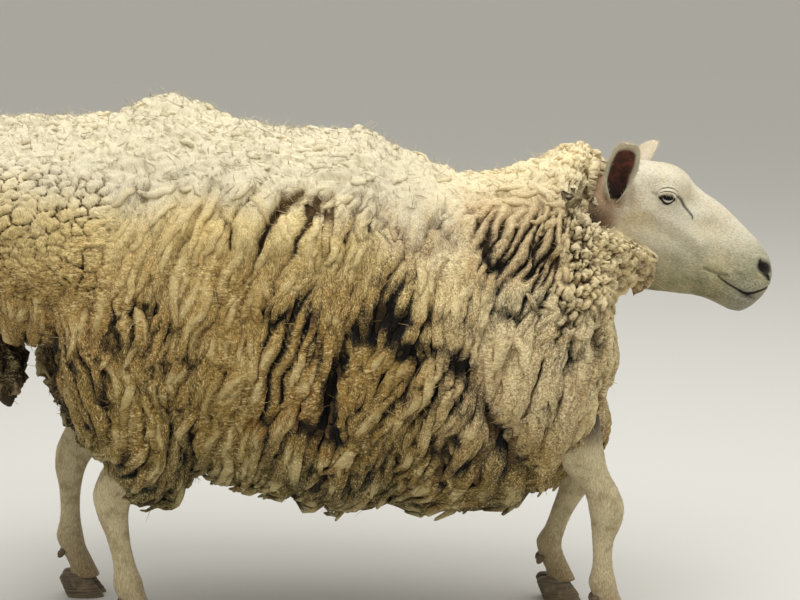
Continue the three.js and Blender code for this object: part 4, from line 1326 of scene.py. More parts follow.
def skin_material(colours):
    """Skin with its short hair: white face, bare pink by the ears, grey lips, dark lid rims and tear lines; painted
    shade in the nostrils, the mouth line, under the upper lip, in the creases, at the temples, the rear eye corners and
    in the ear hollows, and dark painted shade on the skin under the wool.
    """
    sh = Shader("Ewe skin")
    spot = sh.place()
    z = sh.axes(spot)[2]
    dark, pink, muzzle, leg = (sh.attribute(name) for name in ("dark", "pink", "muzzle", "leg"))
    specks = sh.noise(spot, 330.0, 2.0, 0.5)
    face, shank, mottle = short_hair(sh, spot, z, colours)
    hair = sh.noise(sh.along(spot, HEAD_AXES, (210.0, 700.0, 640.0)), 1.0, 3.0, 0.6)
    leg_hair = sh.noise(sh.stretched(spot, (620.0, 620.0, 150.0)), 1.0, 3.0, 0.6)
    hair = hair + leg * (leg_hair - hair)
    face = sh.layers(
        face,
        (muzzle * 0.75, tuple(colours.muzzle)),
        (muzzle * sh.ramp(specks, 0.54, 0.66) * 0.60, colour(92, 84, 70)),
        (sh.attribute("stain") * sh.ramp(mottle, 0.30, 0.60) * 0.5, colour(196, 166, 104)),
        (pink * (0.55 + 0.6 * mottle), colour(178, 144, 116)),
        (leg, shank),
    )
    face = sh.mix(0.34 * sh.ramp(hair, 0.56, 0.34), face, colour(138, 122, 90), "MULTIPLY")
    lining = sh.mix(sh.ramp(mottle, 0.35, 0.7), tuple(colours.ear_lining), colour(104, 56, 38))
    face = sh.layers(
        face,
        (0.20 * sh.ramp(hair, 0.52, 0.68), colour(246, 240, 222)),
        (sh.attribute("inner"), lining),
        # painted shade: the skin under the fleece is dark brown
        (sh.attribute("wool"), colour(58, 46, 28)),
        # lid rims and tear lines, and painted shade in nostrils, mouth, creases and ear hollows
        (dark, colour(22, 16, 12)),
    )
    normal = sh.bump(hair + 0.4 * mottle, 0.0011, 0.7)
    return sh.finish(
        Base_Color=face, Roughness=0.80 - 0.30 * dark, Normal=normal, Sheen_Weight=0.12, Specular_IOR_Level=0.22
    )


def hair_material(colours):
    """Short hairs of the face and legs, in the skin's own colours, with painted shade towards their roots."""
    sh = Shader("Ewe short hair")
    spot = sh.place()
    z = sh.axes(spot)[2]
    tone, hue = sh.attribute("tone"), sh.attribute("hue")
    face, shank, _ = short_hair(sh, spot, z, colours)
    face = sh.mix(sh.ramp(z, 0.44, 0.42), face, shank)
    # painted shade towards each hair's root
    face = sh.mix(sh.ramp(tone, 0.9, 0.2) * 0.8, face, colour(132, 120, 94))
    face = sh.mix(hue * 0.20, face, colour(205, 192, 158), "MULTIPLY")
    return sh.finish(Base_Color=face, Roughness=0.75)


def eye_material(colours):
    """Eye: dark rounded-oblong pupil lying level, brown iris with a pale painted reflection low down, dark rim, wet
    gloss.
    """
    sh = Shader("Ewe eye")
    along, up = sh.attribute("along"), sh.attribute("up")
    ray = sh.noise(sh.stretched(sh.place(), (900.0, 900.0, 900.0)), 1.0, 3.0)
    far = (along * along + up * up) ** 0.5
    iris = sh.mix(sh.ramp(ray, 0.35, 0.65), colour(52, 40, 30), colour(92, 76, 56))
    # a pale crescent low on the iris: painted reflection
    iris = sh.mix(sh.ramp(up, -0.10, -0.28) * sh.ramp(far, 0.34, 0.44), iris, tuple(colours.iris))
    iris = sh.mix(sh.ramp(far, 0.54, 0.66), iris, colour(96, 84, 70))
    shade = sh.mix(sh.ramp(far, 0.70, 0.80), iris, colour(26, 18, 12))
    oblong = ((along / 0.52) ** 4.0 + (up / 0.33) ** 4.0) ** 0.25
    shade = sh.mix(sh.ramp(oblong, 1.08, 0.92), shade, colour(5, 4, 5))
    return sh.finish(
        Base_Color=shade, Roughness=0.25, Coat_Weight=0.6, Coat_Roughness=0.03, Coat_IOR=1.25, Specular_IOR_Level=0.1
    )


def horn_material(colours):
    """Claws: brown-grey horn with growth rings, worn pale and muddy at the sole."""
    sh = Shader("Ewe horn")
    spot = sh.place()
    z = sh.axes(spot)[2]
    rings = sh.noise(sh.stretched(spot, (24.0, 24.0, 620.0)), 1.0, 3.0)
    blotch = sh.noise(spot, 70.0, 4.0)
    base = sh.layers(
        tuple(colours.horn),
        (sh.ramp(rings, 0.35, 0.68), colour(118, 102, 78)),
        (sh.ramp(blotch, 0.5, 0.7) * 0.6, colour(142, 124, 92)),
        (sh.ramp(z, 0.010, 0.0) * 0.7, colour(120, 108, 80)),
    )
    normal = sh.bump(rings + 0.4 * blotch, 0.0010, 0.7)
    return sh.finish(Base_Color=base, Roughness=0.45 + 0.25 * blotch, Normal=normal)


# ---------------------------------------------------------------- pieces


@lru_cache(maxsize=None)
def limb_skins():
    """The bare legs: closed lofts, fine enough for knees, pasterns and sinews."""
    angle = np.arange(40) / 40 * TAU
    return tuple(Surface(lofted(limb_rings(rows, side, angle), 112)) for side, rows in LEGS)


# How dark each head mark is painted: the tear line is a stain; the nostril pit, mouth line, lower lip under the upper
# lip, mouth-corner creases, rear eye corner and temple groove are painted shade
FEATURE_DARKNESS = {
    "pit": 1.5, "mouth": 1.1, "lip": 0.75, "corner": 0.42, "tear": 0.95, "rear": 0.45, "temple": 0.16,
}


def make_skin(sizes, colours):
    """One closed skin: body, neck and head, lids, ears, tail and legs, under the fleece and bare."""
    parts = Parts(("dark", "pink", "wool", "muzzle", "leg", "inner", "stain"))
    angle = -math.pi / 2 + np.arange(72) / 72 * TAU
    rings = fan_rings(FLEECE[:16], angle)
    centre = rings.mean(1, keepdims=True)
    reach = np.linalg.norm(rings - centre, axis=-1, keepdims=True)
    depth = sizes.coat_depth
    rings = centre + (rings - centre) * np.maximum((reach - depth) / reach, 0.3)
    rings[..., 0] += depth * (1 - smooth(-0.63, -0.45, rings[..., 0]))
    trunk = curve(np.arange(16.0), rings, np.linspace(0, 15, 90))
    # the skin under the fleece is painted dark brown, as shade
    parts.add_grid(trunk, UNWRAP_BODY, close=(True, True), wool=1.0)

    s = head_surface()
    shut = s.fields["shut"]
    a, y, u = np.moveaxis(to_head(s.points), -1, 0)
    f = features(s.points)
    # where the wool covers the head, the skin is painted dark, as shade
    wool = 1 - smooth(-0.070, -0.040, a + 0.3 * (u - 0.03) * (u > 0.03))
    wool = np.maximum(wool, 1 - smooth(-0.03, 0.02, a - 0.9 * np.clip(-u, 0, 1)))
    wool = wool * (1 - band(u, 0.02, 0.12, 0.02) * smooth(-0.07, -0.04, a))
    stain = dome(a, u, (0.036, 0.040), (0.020, 0.024)) + 0.8 * dome(a, u, (0.020, 0.000), (0.026, 0.030))
    pink = band(a, -0.080, 0.004, 0.012) * band(u, -0.02, 0.085, 0.02) * smooth(0.03, 0.045, np.abs(y))
    # the tear line's stain, and painted shade in the nostrils, the mouth line, under the upper lip, in the creases, at
    # the temples and the rear eye corners
    dark = np.clip(sum(share * f[name] for name, share in FEATURE_DARKNESS.items()), 0, 1)
    muzzle = smooth(0.180, 0.230, a) * (1 - 0.8 * smooth(-0.012, 0.014, u))
    parts.add_grid(
        shut, UNWRAP_HEAD, close=(True, True), dark=dark, pink=np.clip(pink, 0, 1), wool=np.clip(wool, 0, 1),
        stain=stain, muzzle=muzzle,
    )
    for sign in (-1, 1):
        grid, rim = outward(HEAD_AXES[1] * sign, *lid_patch(sign))
        marks = features(grid)
        low = 0.437 + 0.03 * (sign > 0)
        # the lid rims and tear line, and painted shade in the lid crease and at the rear eye corner
        dark = np.clip(np.clip(rim, 0, 1) + 0.95 * marks["tear"] + 0.45 * marks["rear"], 0, 1)
        parts.add_grid(grid, (0.64, low, 0.67, low + 0.02), dark=dark)
    for k, ear in enumerate(EARS):
        grid, inner, rim, t = ear_grid(*ear)
        pink = np.maximum(0.35 * (1 - rim) * (inner < 0.5), 0.7 * (1 - smooth(0.0, 0.22, t)))
        # the ear's hollow is painted dark near its root, as shade
        parts.add_grid(
            grid, (0.72 + 0.1 * k, 0.44, 0.80 + 0.1 * k, 0.49), close=(True, True), inner=inner * (1 - rim),
            pink=pink, dark=0.85 * inner * (1 - smooth(0.14, 0.50, t)),
        )
    for k, leg in enumerate(limb_skins()):
        z = leg.points[..., 2]
        # the top of each leg, under the fleece, is painted dark, as shade
        parts.add_grid(leg.points, UNWRAP_LIMBS[k], close=(True, True), leg=1.0, wool=smooth(0.30, 0.36, z))
    angle = np.arange(32) / 32 * TAU
    tail = limb_rings([(x, z, w, f * 0.42, c * 0.42) for x, z, w, f, c in TAIL], 1, angle)
    tail = curve(np.arange(8.0), tail, np.linspace(0, 7, 40))
    parts.add_grid(tail, UNWRAP_LIMBS[4], close=(True, True), wool=1.0)
    skin = parts.make("skin", skin_material(colours))
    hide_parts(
        "trunk", "neck", "head", "tail", "ear_left", "ear_right",
        "foreleg_left", "foreleg_right", "hindleg_left", "hindleg_right",
    )


def make_eyes(colours):
    """Eyeballs: spheres with a slightly fuller front, from circles about the eye's axis."""
    material = eye_material(colours)
    for sign, name in ((-1, "right"), (1, "left")):
        parts = Parts(("along", "up"))
        polar = np.linspace(0.004, math.pi - 0.004, 48)[:, None]
        turn = np.arange(72) / 72 * TAU
        centre = from_head([EYE["along"], sign * EYE["out"], EYE["up"]])
        axis = unit(HEAD_AXES[1] * sign + 0.10 * HEAD_AXES[0] + 0.02 * HEAD_AXES[2])
        level = unit(np.array([1.0, 0, -0.05]) - axis * (np.array([1.0, 0, -0.05]) @ axis))
        above = np.cross(level, axis) * (1 if np.cross(level, axis)[2] > 0 else -1)
        r = EYE["radius"] * (1 + 0.05 * np.exp(-((polar / 0.55) ** 2)))
        x, z = np.sin(polar) * np.cos(turn), np.sin(polar) * np.sin(turn)
        grid = centre + r[..., None] * (np.cos(polar)[..., None] * axis + x[..., None] * level + z[..., None] * above)
        grid, along, up = outward(grid - centre, grid, x, z)
        parts.add_grid(grid, close=(True, True), along=along, up=up)
        piece = parts.make("eyeball_" + name, material)
        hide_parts("eye_" + name)


def claw_grid(foot, middle):
    """One claw at (foot, middle): rings up a half pear whose walls lean back to the crown.

    A ring is an ellipse with squared corners, narrower in front; it draws in over the last quarter
    of the height and at the sole's edge, and growth lines ripple the wall.
    """
    t = np.linspace(0, 1, 30)[:, None]
    angle = np.arange(56) / 56 * TAU
    crown = np.where(t < 0.75, 1, 1 - 0.35 * ((t - 0.75) * 4) ** 2)
    edge = 1 - 0.06 * np.exp(-((t / 0.05) ** 2))
    length = (CLAW["length"] - 0.013 * t) * crown / 2 * edge
    width = (CLAW["width"] - 0.002 * t) * crown / 2 * edge
    growth = 1 + 0.006 * np.sin(t * 34)
    narrow = 1 - 0.28 * np.maximum(np.cos(angle), 0) ** 2
    x = foot + CLAW["ahead"] - CLAW["lean"] * t + powered(np.cos(angle), 0.85) * length * growth
    y = middle + powered(np.sin(angle), 0.85) * width * narrow * growth
    return np.stack([x, y, CLAW["height"] * t + 0 * angle], -1)


def dewclaw_grid(x, y, z):
    """One dewclaw below (x, y, z): a small egg, its rings shrinking downwards and leaning back."""
    angle = (np.arange(56) / 56 * TAU)[::4]
    down = np.linspace(0, 1, 12)[:, None]
    r = 0.0075 * np.sqrt(np.maximum(1 - (2 * down - 1) ** 2 * 0.98, 0)) * (1 - 0.25 * down)
    ring = [x - 0.006 * down + np.cos(angle) * r, y + np.sin(angle) * r, z - 0.016 * down + 0 * angle]
    return np.stack(ring, -1)[::-1]


def make_claws(colours):
    """Two claws to a foot, and the two dewclaws with the inner one."""
    material = horn_material(colours)
    for name, (side, rows) in zip(("foreleg_right", "foreleg_left", "hindleg_right", "hindleg_left"), LEGS):
        foot, foot_side = rows[-1][0], side * rows[-1][2]
        for which, away in (("outer", 1), ("inner", -1)):
            parts = Parts(("tone",))
            middle = foot_side + away * side * (CLAW["width"] + CLAW["slit"]) / 2
            parts.add_grid(claw_grid(foot, middle), close=(True, True))
            if which == "inner":
                for across in (-0.012, 0.012):
                    dew = dewclaw_grid(rows[-3][0] - 0.017, foot_side + across, rows[-3][1] + 0.004)
                    parts.add_grid(dew, (0, 0, 0.2, 0.2), close=(True, True))
            piece = parts.make(f"hoof_{name}_{which}", material)
            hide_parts(f"claw_{name}_{which}")


def make_mats(colours):
    """The matted body of the fleece: the envelope, sunk and raised by its net of cushions."""
    material = fleece_material("Ewe matted wool", False, colours)
    s = body_surface()
    points, tone = outer(s), s.fields["tone"]
    rows = points.shape[0]
    cuts = np.linspace(0, rows - 1, 5).astype(int)
    for k, name in enumerate(("mat_rump", "mat_flank", "mat_shoulder", "mat_neck")):
        i, j = cuts[k], cuts[k + 1] + 1
        parts = Parts(("tone",))
        left, low, right, high = UNWRAP_BODY
        first, last = (left + (right - left) * row / (rows - 1) for row in (i, j - 1))
        parts.add_grid(points[i:j], (first, low, last, high), close=(k == 0, k == 3), tone=tone[i:j])
        parts.make(name, material)
    parts = Parts(("tone",))
    for k, limb in enumerate(breech_surfaces()):
        parts.add_grid(outer(limb), UNWRAP_LIMBS[k + 2], close=(True, True), tone=limb.fields["tone"])
    parts.make("mat_breech", material)


def mixed(s, uv, table):
    """A number for each place, from the kinds of fleece there and each kind's own number."""
    return sum(s.read(s.fields["weights"][kind], uv) * value for kind, value in table.items())


LENGTH = {"flank": 0.078, "rump": 0.026, "neck": 0.058, "throat": 0.020, "chest": 0.120, "back": 0.024}
WIDTH = {"flank": 0.0066, "rump": 0.0060, "neck": 0.0054, "throat": 0.0043, "chest": 0.0092, "back": 0.0060}
CURL = {"flank": 0.30, "rump": 0.9, "neck": 0.22, "throat": 2.4, "chest": 0.34, "back": 1.8}
STAND = {"flank": 0.0022, "rump": 0.0, "neck": 0.001, "throat": 0.004, "chest": 0.004, "back": 0.001}
PLENTY = {"flank": 1.0, "rump": 0.20, "neck": 0.6, "throat": 8.0, "chest": 1.6, "back": 0.30}


def clear_of_ears(p):
    """Whether points are away from the bare skin round the ears."""
    a, y, u = np.moveaxis(to_head(p), -1, 0)
    return ~((a > -0.052) & (u > 0.030) & (u < 0.20) & (np.abs(y) > 0.022))


def rooted(s, base, uv, others, deep):
    """The places of uv that are clear of the ears and not buried in other surfaces, and their points."""
    root = s.read(base, uv)
    keep = clear_of_ears(root)
    for other in others:
        keep &= ~buried(root, other, deep)
    return uv[keep], root[keep]


def add_locks(parts, s, patch, count, rng, others=()):
    """Locks of wool half sunk in a woolly surface: lumpy and blunt, hanging, curling at the ends."""
    base = outer(s)
    felted = smooth(-0.15, 0.40, noise(s.points, 0.13, 27))
    uv = sow(s, count, rng, sum(s.fields["weights"][k] * v for k, v in PLENTY.items()) * (1 - 0.6 * felted))
    uv, root = rooted(s, base, uv, others, 0.012)
    n = unit(s.read(s.normals, uv))
    count = len(uv)
    size = rng.uniform(0.55, 1.35, count)
    length = mixed(s, uv, LENGTH) * size * rng.uniform(0.8, 1.2, count)
    width = mixed(s, uv, WIDTH) * size**0.7
    curl = mixed(s, uv, CURL)
    stand = mixed(s, uv, STAND) * rng.uniform(0.3, 2.2, count)
    bias = curl * (0.9 * noise(root, 0.05, 61) + 0.3 * rng.normal(size=count))
    bend = curl * rng.normal(size=count) * 0.8
    hook = (1.2 + 0.8 * mixed(s, uv, {"chest": 1.0})) * rng.normal(size=count)

    def heading(p, normal, t):
        return turned(lie(p, normal), normal, bias + bend * t + hook * max(t - 0.6, 0))

    def lift(t):
        return width * (-0.10 + 0.22 * math.sin(math.pi * t)) + stand * t * t - 0.004 * (1 - t) ** 2

    start = placed(s, uv, patch)
    steps, sides = 7, 6
    points, normals, tones = trace(s, uv, length, steps, heading, lift, base)
    t = np.linspace(0, 1, steps)
    sway = rng.normal(size=(count, steps)) * width[:, None] * 0.22
    points = points + unit(np.cross(normals, np.gradient(points, axis=1))) * sway[..., None]
    # the fringe hangs free below the belly and the breast
    low = (1 - smooth(-0.25, 0.35, n[:, 2])) * (1 - smooth(0.34, 0.44, root[:, 2]))
    points[..., 2] -= (low * rng.uniform(0.1, 1.0, count) * 0.014)[:, None] * t**2
    # darker at the root, painted shade where the lock sinks into the mat; paler towards the tip, partly the weathered
    # tip and partly painted light
    tone = tones * (0.72 + 0.28 * smooth(0, 0.4, t)) + 0.13 * smooth(0.2, 0.9, t)
    throat = mixed(s, uv, {"throat": 1.0})
    lumps = rng.normal(size=(count, steps, sides)).clip(-2, 2) * (0.075 - 0.040 * throat)[:, None, None]
    hue, thick = rng.random(count), width * (0.62 + 0.25 * throat)
    ok = clear_of_ears(points).all(1)
    strand_mesh(
        parts, points[ok], normals[ok], width[ok], thick[ok], sides, start[ok], np.clip(tone[ok], 0, 1), hue[ok],
        0.42, lumps[ok],
    )


def make_coat(name, material, lay, count, limb_counts, seed):
    """One kind of strand over the body in three pieces, and over breech and tail in one."""
    s, limbs = body_surface(), breech_surfaces()
    for k in range(3):
        parts = Parts(("tone", "hue"))
        lay(parts, s, UNWRAP_BODY, count // 3, np.random.default_rng(seed + k), limbs)
        parts.make(f"{name}_{k + 1}", material)
    parts = Parts(("tone", "hue"))
    for k, limb in enumerate(limbs):
        lay(parts, limb, UNWRAP_LIMBS[k + 2], limb_counts[k], np.random.default_rng(seed + 10 + k), (s,))
    parts.make(name + "_breech", material)


def make_locks(sizes, colours):
    """Locks over body, breech and tail."""
    make_coat("locks", fleece_material("Ewe wool locks", True, colours), add_locks, sizes.locks, (260, 260, 200), 100)


WISP = {"flank": 0.016, "rump": 0.012, "neck": 0.014, "throat": 0.013, "chest": 0.017, "back": 0.016}


def add_wisps(parts, s, patch, count, rng, others=()):
    """Wisps: fine curly hairs a little off the surface, every way, that soften the fleece."""
    base = outer(s)
    weights = s.fields["weights"]
    uv = sow(s, count, rng, (0.6 + 1.0 * weights["back"] + 1.6 * weights["throat"]) * (0.3 + 0.7 * s.fields["tone"]))
    uv, root = rooted(s, base, uv, others, 0.010)
    count = len(uv)
    n = unit(s.read(s.normals, uv))
    tone = s.read(s.fields["tone"], uv)
    length = mixed(s, uv, WISP) * rng.uniform(0.5, 1.25, count)
    d = turned(lie(root, n), n, rng.uniform(-2.4, 2.4, count))
    steep = rng.uniform(0.0, 0.26, count) + 0.40 * mixed(s, uv, {"back": 1.0, "throat": 0.6}) * rng.random(count)
    d = unit(d + n * steep[:, None])
    t = np.linspace(0, 1, 3)
    curl = rng.normal(size=(count, 3)) * 0.50 - n * 0.25
    points = (
        (root - n * 0.0012)[:, None]
        + d[:, None] * (length[:, None] * t)[..., None]
        + curl[:, None] * (length[:, None] * t**2)[..., None]
    )
    width = rng.uniform(0.00035, 0.00085, count)
    strand_mesh(
        parts, points, np.repeat(n[:, None], 3, 1), width, width * 0.8, 3, placed(s, uv, patch),
        np.clip(tone[:, None] + 0.15 + 0 * t, 0, 1), rng.random(count),
    )


def make_wisps(sizes, colours):
    """Wisps over body, breech and tail."""
    material = fleece_material("Ewe wool wisps", True, colours)
    make_coat("wisps", material, add_wisps, sizes.wisps, (1500, 1500, 900), 200)


def add_bristles(parts, s, uv, d, length, raised, width, thick, root_uv, low_tone, rng, sunk=0.0005):
    """Short straight hairs from places uv of a surface, in directions d raised off it by a share.

    Each starts sunk metres under the surface, and its tone rises from low_tone to 1 at the tip.
    """
    root, n = s.read(s.points, uv), unit(s.read(s.normals, uv))
    count, t = len(uv), np.array([0.0, 1.0])
    d = unit(d + n * raised[:, None])
    points = (root - n * sunk)[:, None] + d[:, None] * (length[:, None] * t * 0.7)[..., None]
    # the low tone at the root becomes painted shade in the hair's colour
    tone = np.tile(low_tone + (1 - low_tone) * t, (count, 1))
    strand_mesh(parts, points, np.repeat(n[:, None], 2, 1), width, thick, 3, root_uv, tone, rng.random(count))


def along_skin(d, n):
    """A direction laid onto surfaces with normals n."""
    return unit(d - n * (n @ d)[:, None])


def add_lashes(parts, rng):
    """Fine curved lashes from the edge of each upper lid, out and down over the eye."""
    t = np.linspace(0, 1, 5)
    for sign in (-1, 1):
        edge = lid_patch(sign)[0][2]
        root = edge[np.repeat(np.argsort(-to_head(edge)[:, 2])[:44], 5)]
        out = unit(root - from_head([EYE["along"], sign * (EYE["out"] - 0.004), EYE["up"]]))
        count = len(root)
        d = unit(out - 0.15 * HEAD_AXES[2] - 0.10 * HEAD_AXES[0] + rng.normal(size=(count, 3)) * 0.12)
        length = 0.0080 * rng.uniform(0.6, 1.2, count)[:, None]
        droop = HEAD_AXES[2] * (length * 0.75 * t**2)[..., None]
        points = root[:, None] + d[:, None] * (length * t)[..., None] - droop
        normals, at = np.repeat(out[:, None], 5, 1), np.full((count, 2), 0.655)
        strand_mesh(parts, points, normals, 0.00030, 0.00024, 3, at, np.ones((count, 5)), rng.random(count))


def make_hair(sizes, colours):
    """Short hair of the face, ears and legs, laid back from the nose and down the legs; lashes."""
    material = hair_material(colours)
    rng = np.random.default_rng(300)
    s = head_surface()
    a = to_head(s.points)[..., 0]
    f = features(s.points)
    bare = 1 - np.clip(f["pit"] + f["mouth"] + f["tear"] + s.fields[-1] + s.fields[1], 0, 1)
    uv = sow(s, sizes.face_hairs, rng, smooth(-0.05, -0.02, a) * bare * (1 - 0.6 * smooth(0.20, 0.24, a)))
    root, n, count = s.read(s.points, uv), unit(s.read(s.normals, uv)), len(uv)
    d = along_skin(-HEAD_AXES[0] - 0.25 * HEAD_AXES[2], n)
    d = turned(d, n, rng.normal(size=count) * 0.30 + 0.5 * noise(root, 0.03, 71))
    nose = smooth(0.10, 0.24, to_head(root)[:, 0])
    length = (0.0075 - 0.0042 * nose) * rng.uniform(0.6, 1.4, count)
    raised, width = rng.uniform(0.03, 0.22, count), 0.00042 - 0.00014 * nose
    parts = Parts(("tone", "hue"))
    add_bristles(parts, s, uv, d, length, raised, width, width * 0.6, placed(s, uv, UNWRAP_HEAD), 0.55, rng)
    parts.make("hair_face", material)

    parts = Parts(("tone", "hue"))
    for k, leg in enumerate(limb_skins()):
        z = leg.points[..., 2]
        uv = sow(leg, sizes.leg_hairs // 4, rng, (1 - smooth(0.30, 0.36, z)) * (z > 0.036))
        n, count = unit(leg.read(leg.normals, uv)), len(uv)
        d = turned(along_skin(np.array([-0.15, 0, -1.0]), n), n, rng.normal(size=count) * 0.3)
        raised, length = rng.uniform(0.05, 0.30, count), 0.008 * rng.uniform(0.6, 1.4, count)
        at = placed(leg, uv, UNWRAP_LIMBS[k])
        add_bristles(parts, leg, uv, d, length, raised, 0.0005, 0.0003, at, 0.5, rng)
    parts.make("hair_legs", material)

    parts = Parts(("tone", "hue"))
    for k, ear in enumerate(EARS):
        grid, inner, rim, _ = ear_grid(*ear)
        es = Surface(grid)
        uv = sow(es, sizes.ear_hairs // 2, rng, (0.5 + 3.0 * rim) * (1 - inner * (1 - rim)))
        n, count = unit(es.read(es.normals, uv)), len(uv)
        tipward = unit(es.read(es.along, uv))
        tipward = tipward * np.sign((tipward * (grid[-1].mean(0) - grid[0].mean(0))).sum(-1))[:, None]
        d = turned(tipward, n, rng.normal(size=count) * 0.45)
        raised = rng.uniform(0.08, 0.5, count)
        length = (0.006 + 0.004 * es.read(rim, uv)) * rng.uniform(0.6, 1.3, count)
        at = np.full((count, 2), 0.76 + 0.1 * k)
        add_bristles(parts, es, uv, d, length, raised, 0.00042, 0.00028, at, 0.6, rng, sunk=0.0004)
    add_lashes(parts, rng)
    parts.make("hair_ears_and_lashes", material)


FLOOR = {"reach": 3000.0, "flat": 20.0, "rise": 520.0}
# name, watts, side in metres, place, and the point it faces
LAMPS = (
    ("key", 70.0, 2.6, (-0.2, -1.7, 3.7), (0.0, 0.0, 0.45)),
    ("sky", 85.0, 4.0, (0.5, 0.5, 4.2), (0.0, 0.0, 0.4)),
    ("fill", 8.0, 3.0, (3.4, -1.6, 1.7), (0.3, 0.0, 0.5)),
)


def make_stage():
    """A pale floor that rises a little far behind, soft lights and the camera."""
    t = [-FLOOR["reach"], -FLOOR["flat"], FLOOR["flat"], FLOOR["reach"]]
    grid = np.stack([*np.meshgrid(t, t, indexing="ij"), np.full((4, 4), FLOOR["rise"])], -1)
    grid[1:3, 1:3, 2] = 0
    quads, _ = grid_faces(4, 4, wrap=False)
    mesh = bpy.data.meshes.new("floor")
    mesh.from_pydata(grid.reshape(-1, 3).tolist(), [], quads.tolist())
    floor = bpy.data.objects.new("floor", mesh)
    bpy.context.scene.collection.objects.link(floor)
    sh = Shader("Pale floor")
    mesh.materials.append(sh.finish(Base_Color=colour(214, 213, 208), Roughness=0.9))
    for name, energy, size, at, aim in LAMPS:
        light = bpy.data.lights.new(name, "AREA")
        light.energy, light.size = energy, size
        lamp = bpy.data.objects.new(name, light)
        lamp.location = at
        lamp.rotation_euler = (Vector(aim) - Vector(at)).to_track_quat("-Z", "Y").to_euler()
        bpy.context.scene.collection.objects.link(lamp)
    world = bpy.data.worlds.new("studio")
    world.use_nodes = True
    world.node_tree.nodes["Background"].inputs[0].default_value = colour(232, 229, 222)
    world.node_tree.nodes["Background"].inputs[1].default_value = 0.72
    bpy.context.scene.world = world
    bpy.context.scene.view_settings.view_transform = "Standard"
    camera = bpy.data.cameras.new("camera")
    camera.lens, camera.sensor_width = 82.4, 36.0
    camera.clip_start, camera.clip_end = 0.05, 10000.0
    eye = bpy.data.objects.new("camera", camera)
    eye.location = (0.0859, -2.8, 0.975)
    eye.rotation_euler = (math.radians(90 - 9.3), 0, 0)
    bpy.context.scene.collection.objects.link(eye)
    bpy.context.scene.camera = eye


# ---------------------------------------------------------------- the add-on


def shade(name, red, green, blue):
    """A colour property whose default is given as seen on screen."""
    return bpy.props.FloatVectorProperty(
        name=name, description="Colour of this part, before its mottling", subtype="COLOR", size=4,
        min=0.0, max=1.0, default=colour(red, green, blue),
    )


class EweSizes(bpy.types.PropertyGroup):
    """Sizes and counts that change the ewe's coat."""

    coat_depth: bpy.props.FloatProperty(
        name="Coat depth", description="From the skin to the wool's surface", default=COAT_DEPTH, unit="LENGTH"
    )
    locks: bpy.props.IntProperty(name="Locks", description="Locks of wool over the body", default=3300)
    wisps: bpy.props.IntProperty(name="Wisps", description="Thin tufts over the body", default=15600)
    face_hairs: bpy.props.IntProperty(name="Face hairs", description="Short hairs on the head", default=7500)
    leg_hairs: bpy.props.IntProperty(name="Leg hairs", description="Short hairs on the legs", default=4000)
    ear_hairs: bpy.props.IntProperty(name="Ear hairs", description="Short hairs on both ears", default=2200)


class EweColours(bpy.types.PropertyGroup):
    """The ewe's main colours."""

    # the wool's colours from top to bottom: partly its own, partly painted light from above and painted shade below
    wool_top: shade("Wool on top", 231, 222, 192)
    wool_side: shade("Wool on the sides", 200, 168, 100)
    wool_low: shade("Wool below", 132, 118, 66)
    stain: shade("Stains in the wool", 170, 124, 62)
    face: shade("Face", 218, 211, 188)
    # the jaw: painted shade with a greenish painted reflection
    jaw: shade("Jaw", 128, 128, 90)
    muzzle: shade("Muzzle", 158, 154, 134)
    shank: shade("Legs", 200, 186, 148)
    ear_lining: shade("Inside of the ears", 48, 22, 13)
    # the pale crescent low on the iris, a painted reflection
    iris: shade("Iris", 222, 218, 204)
    horn: shade("Claws", 72, 60, 46)


class EWE_OT_skin(bpy.types.Operator):
    """Make the skin with its head, lids, ears, legs and tail"""

    bl_idname, bl_label = "ewe.skin", "Skin"

    def execute(self, context):
        make_skin(context.scene.ewe_sizes, context.scene.ewe_colours)
        return {"FINISHED"}


class EWE_OT_eyes(bpy.types.Operator):
    """Make both eyeballs"""

    bl_idname, bl_label = "ewe.eyes", "Eyes"

    def execute(self, context):
        make_eyes(context.scene.ewe_colours)
        return {"FINISHED"}


class EWE_OT_claws(bpy.types.Operator):
    """Make the claws and dewclaws"""

    bl_idname, bl_label = "ewe.claws", "Claws"

    def execute(self, context):
        make_claws(context.scene.ewe_colours)
        return {"FINISHED"}


class EWE_OT_mats(bpy.types.Operator):
    """Make the matted body of the fleece"""

    bl_idname, bl_label = "ewe.mats", "Matted wool"

    def execute(self, context):
        make_mats(context.scene.ewe_colours)
        return {"FINISHED"}


class EWE_OT_locks(bpy.types.Operator):
    """Lay the locks of wool"""

    bl_idname, bl_label = "ewe.locks", "Locks"

    def execute(self, context):
        make_locks(context.scene.ewe_sizes, context.scene.ewe_colours)
        return {"FINISHED"}


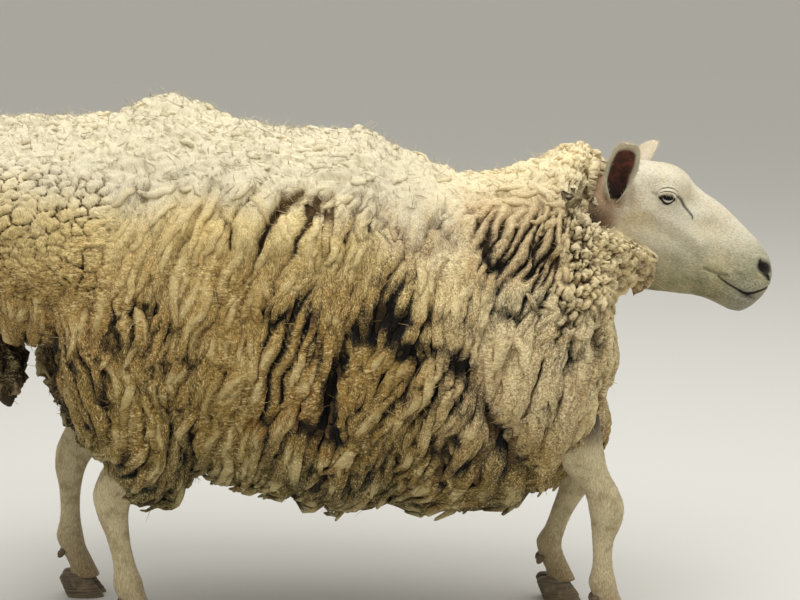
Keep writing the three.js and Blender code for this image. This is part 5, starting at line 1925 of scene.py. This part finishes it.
class EWE_OT_wisps(bpy.types.Operator):
    """Lay the thin tufts of wool"""

    bl_idname, bl_label = "ewe.wisps", "Wisps"

    def execute(self, context):
        make_wisps(context.scene.ewe_sizes, context.scene.ewe_colours)
        return {"FINISHED"}


class EWE_OT_hair(bpy.types.Operator):
    """Lay the short hair of face, ears and legs, and the lashes"""

    bl_idname, bl_label = "ewe.hair", "Short hair"

    def execute(self, context):
        make_hair(context.scene.ewe_sizes, context.scene.ewe_colours)
        return {"FINISHED"}


class EWE_OT_stage(bpy.types.Operator):
    """Set the floor, the lights and the camera"""

    bl_idname, bl_label = "ewe.stage", "Stage"

    def execute(self, context):
        make_stage()
        return {"FINISHED"}


OPERATORS = (
    EWE_OT_skin, EWE_OT_eyes, EWE_OT_claws, EWE_OT_mats, EWE_OT_locks, EWE_OT_wisps, EWE_OT_hair, EWE_OT_stage,
)


class EWE_PT_panel(bpy.types.Panel):
    """Sidebar panel listing the pieces"""

    bl_idname = "EWE_PT_panel"
    bl_label = "Woolly ewe"
    bl_space_type = "VIEW_3D"
    bl_region_type = "UI"
    bl_category = "Ewe"

    def draw(self, context):
        for group, kind in ((context.scene.ewe_sizes, EweSizes), (context.scene.ewe_colours, EweColours)):
            for name in kind.__annotations__:
                self.layout.prop(group, name)
        for kind in OPERATORS:
            self.layout.operator(kind.bl_idname)


CLASSES = (EweSizes, EweColours, *OPERATORS, EWE_PT_panel)


def register():
    for kind in CLASSES:
        bpy.utils.register_class(kind)
    bpy.types.Scene.ewe_sizes = bpy.props.PointerProperty(type=EweSizes)
    bpy.types.Scene.ewe_colours = bpy.props.PointerProperty(type=EweColours)


def unregister():
    del bpy.types.Scene.ewe_sizes, bpy.types.Scene.ewe_colours
    for kind in reversed(CLASSES):
        bpy.utils.unregister_class(kind)


def main():
    """Registers the add-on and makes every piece."""
    register()
    bpy.ops.ewe.skin()
    bpy.ops.ewe.eyes()
    bpy.ops.ewe.claws()
    bpy.ops.ewe.mats()
    bpy.ops.ewe.locks()
    bpy.ops.ewe.wisps()
    bpy.ops.ewe.hair()
    bpy.ops.ewe.stage()


if __name__ == "__main__":
    main()
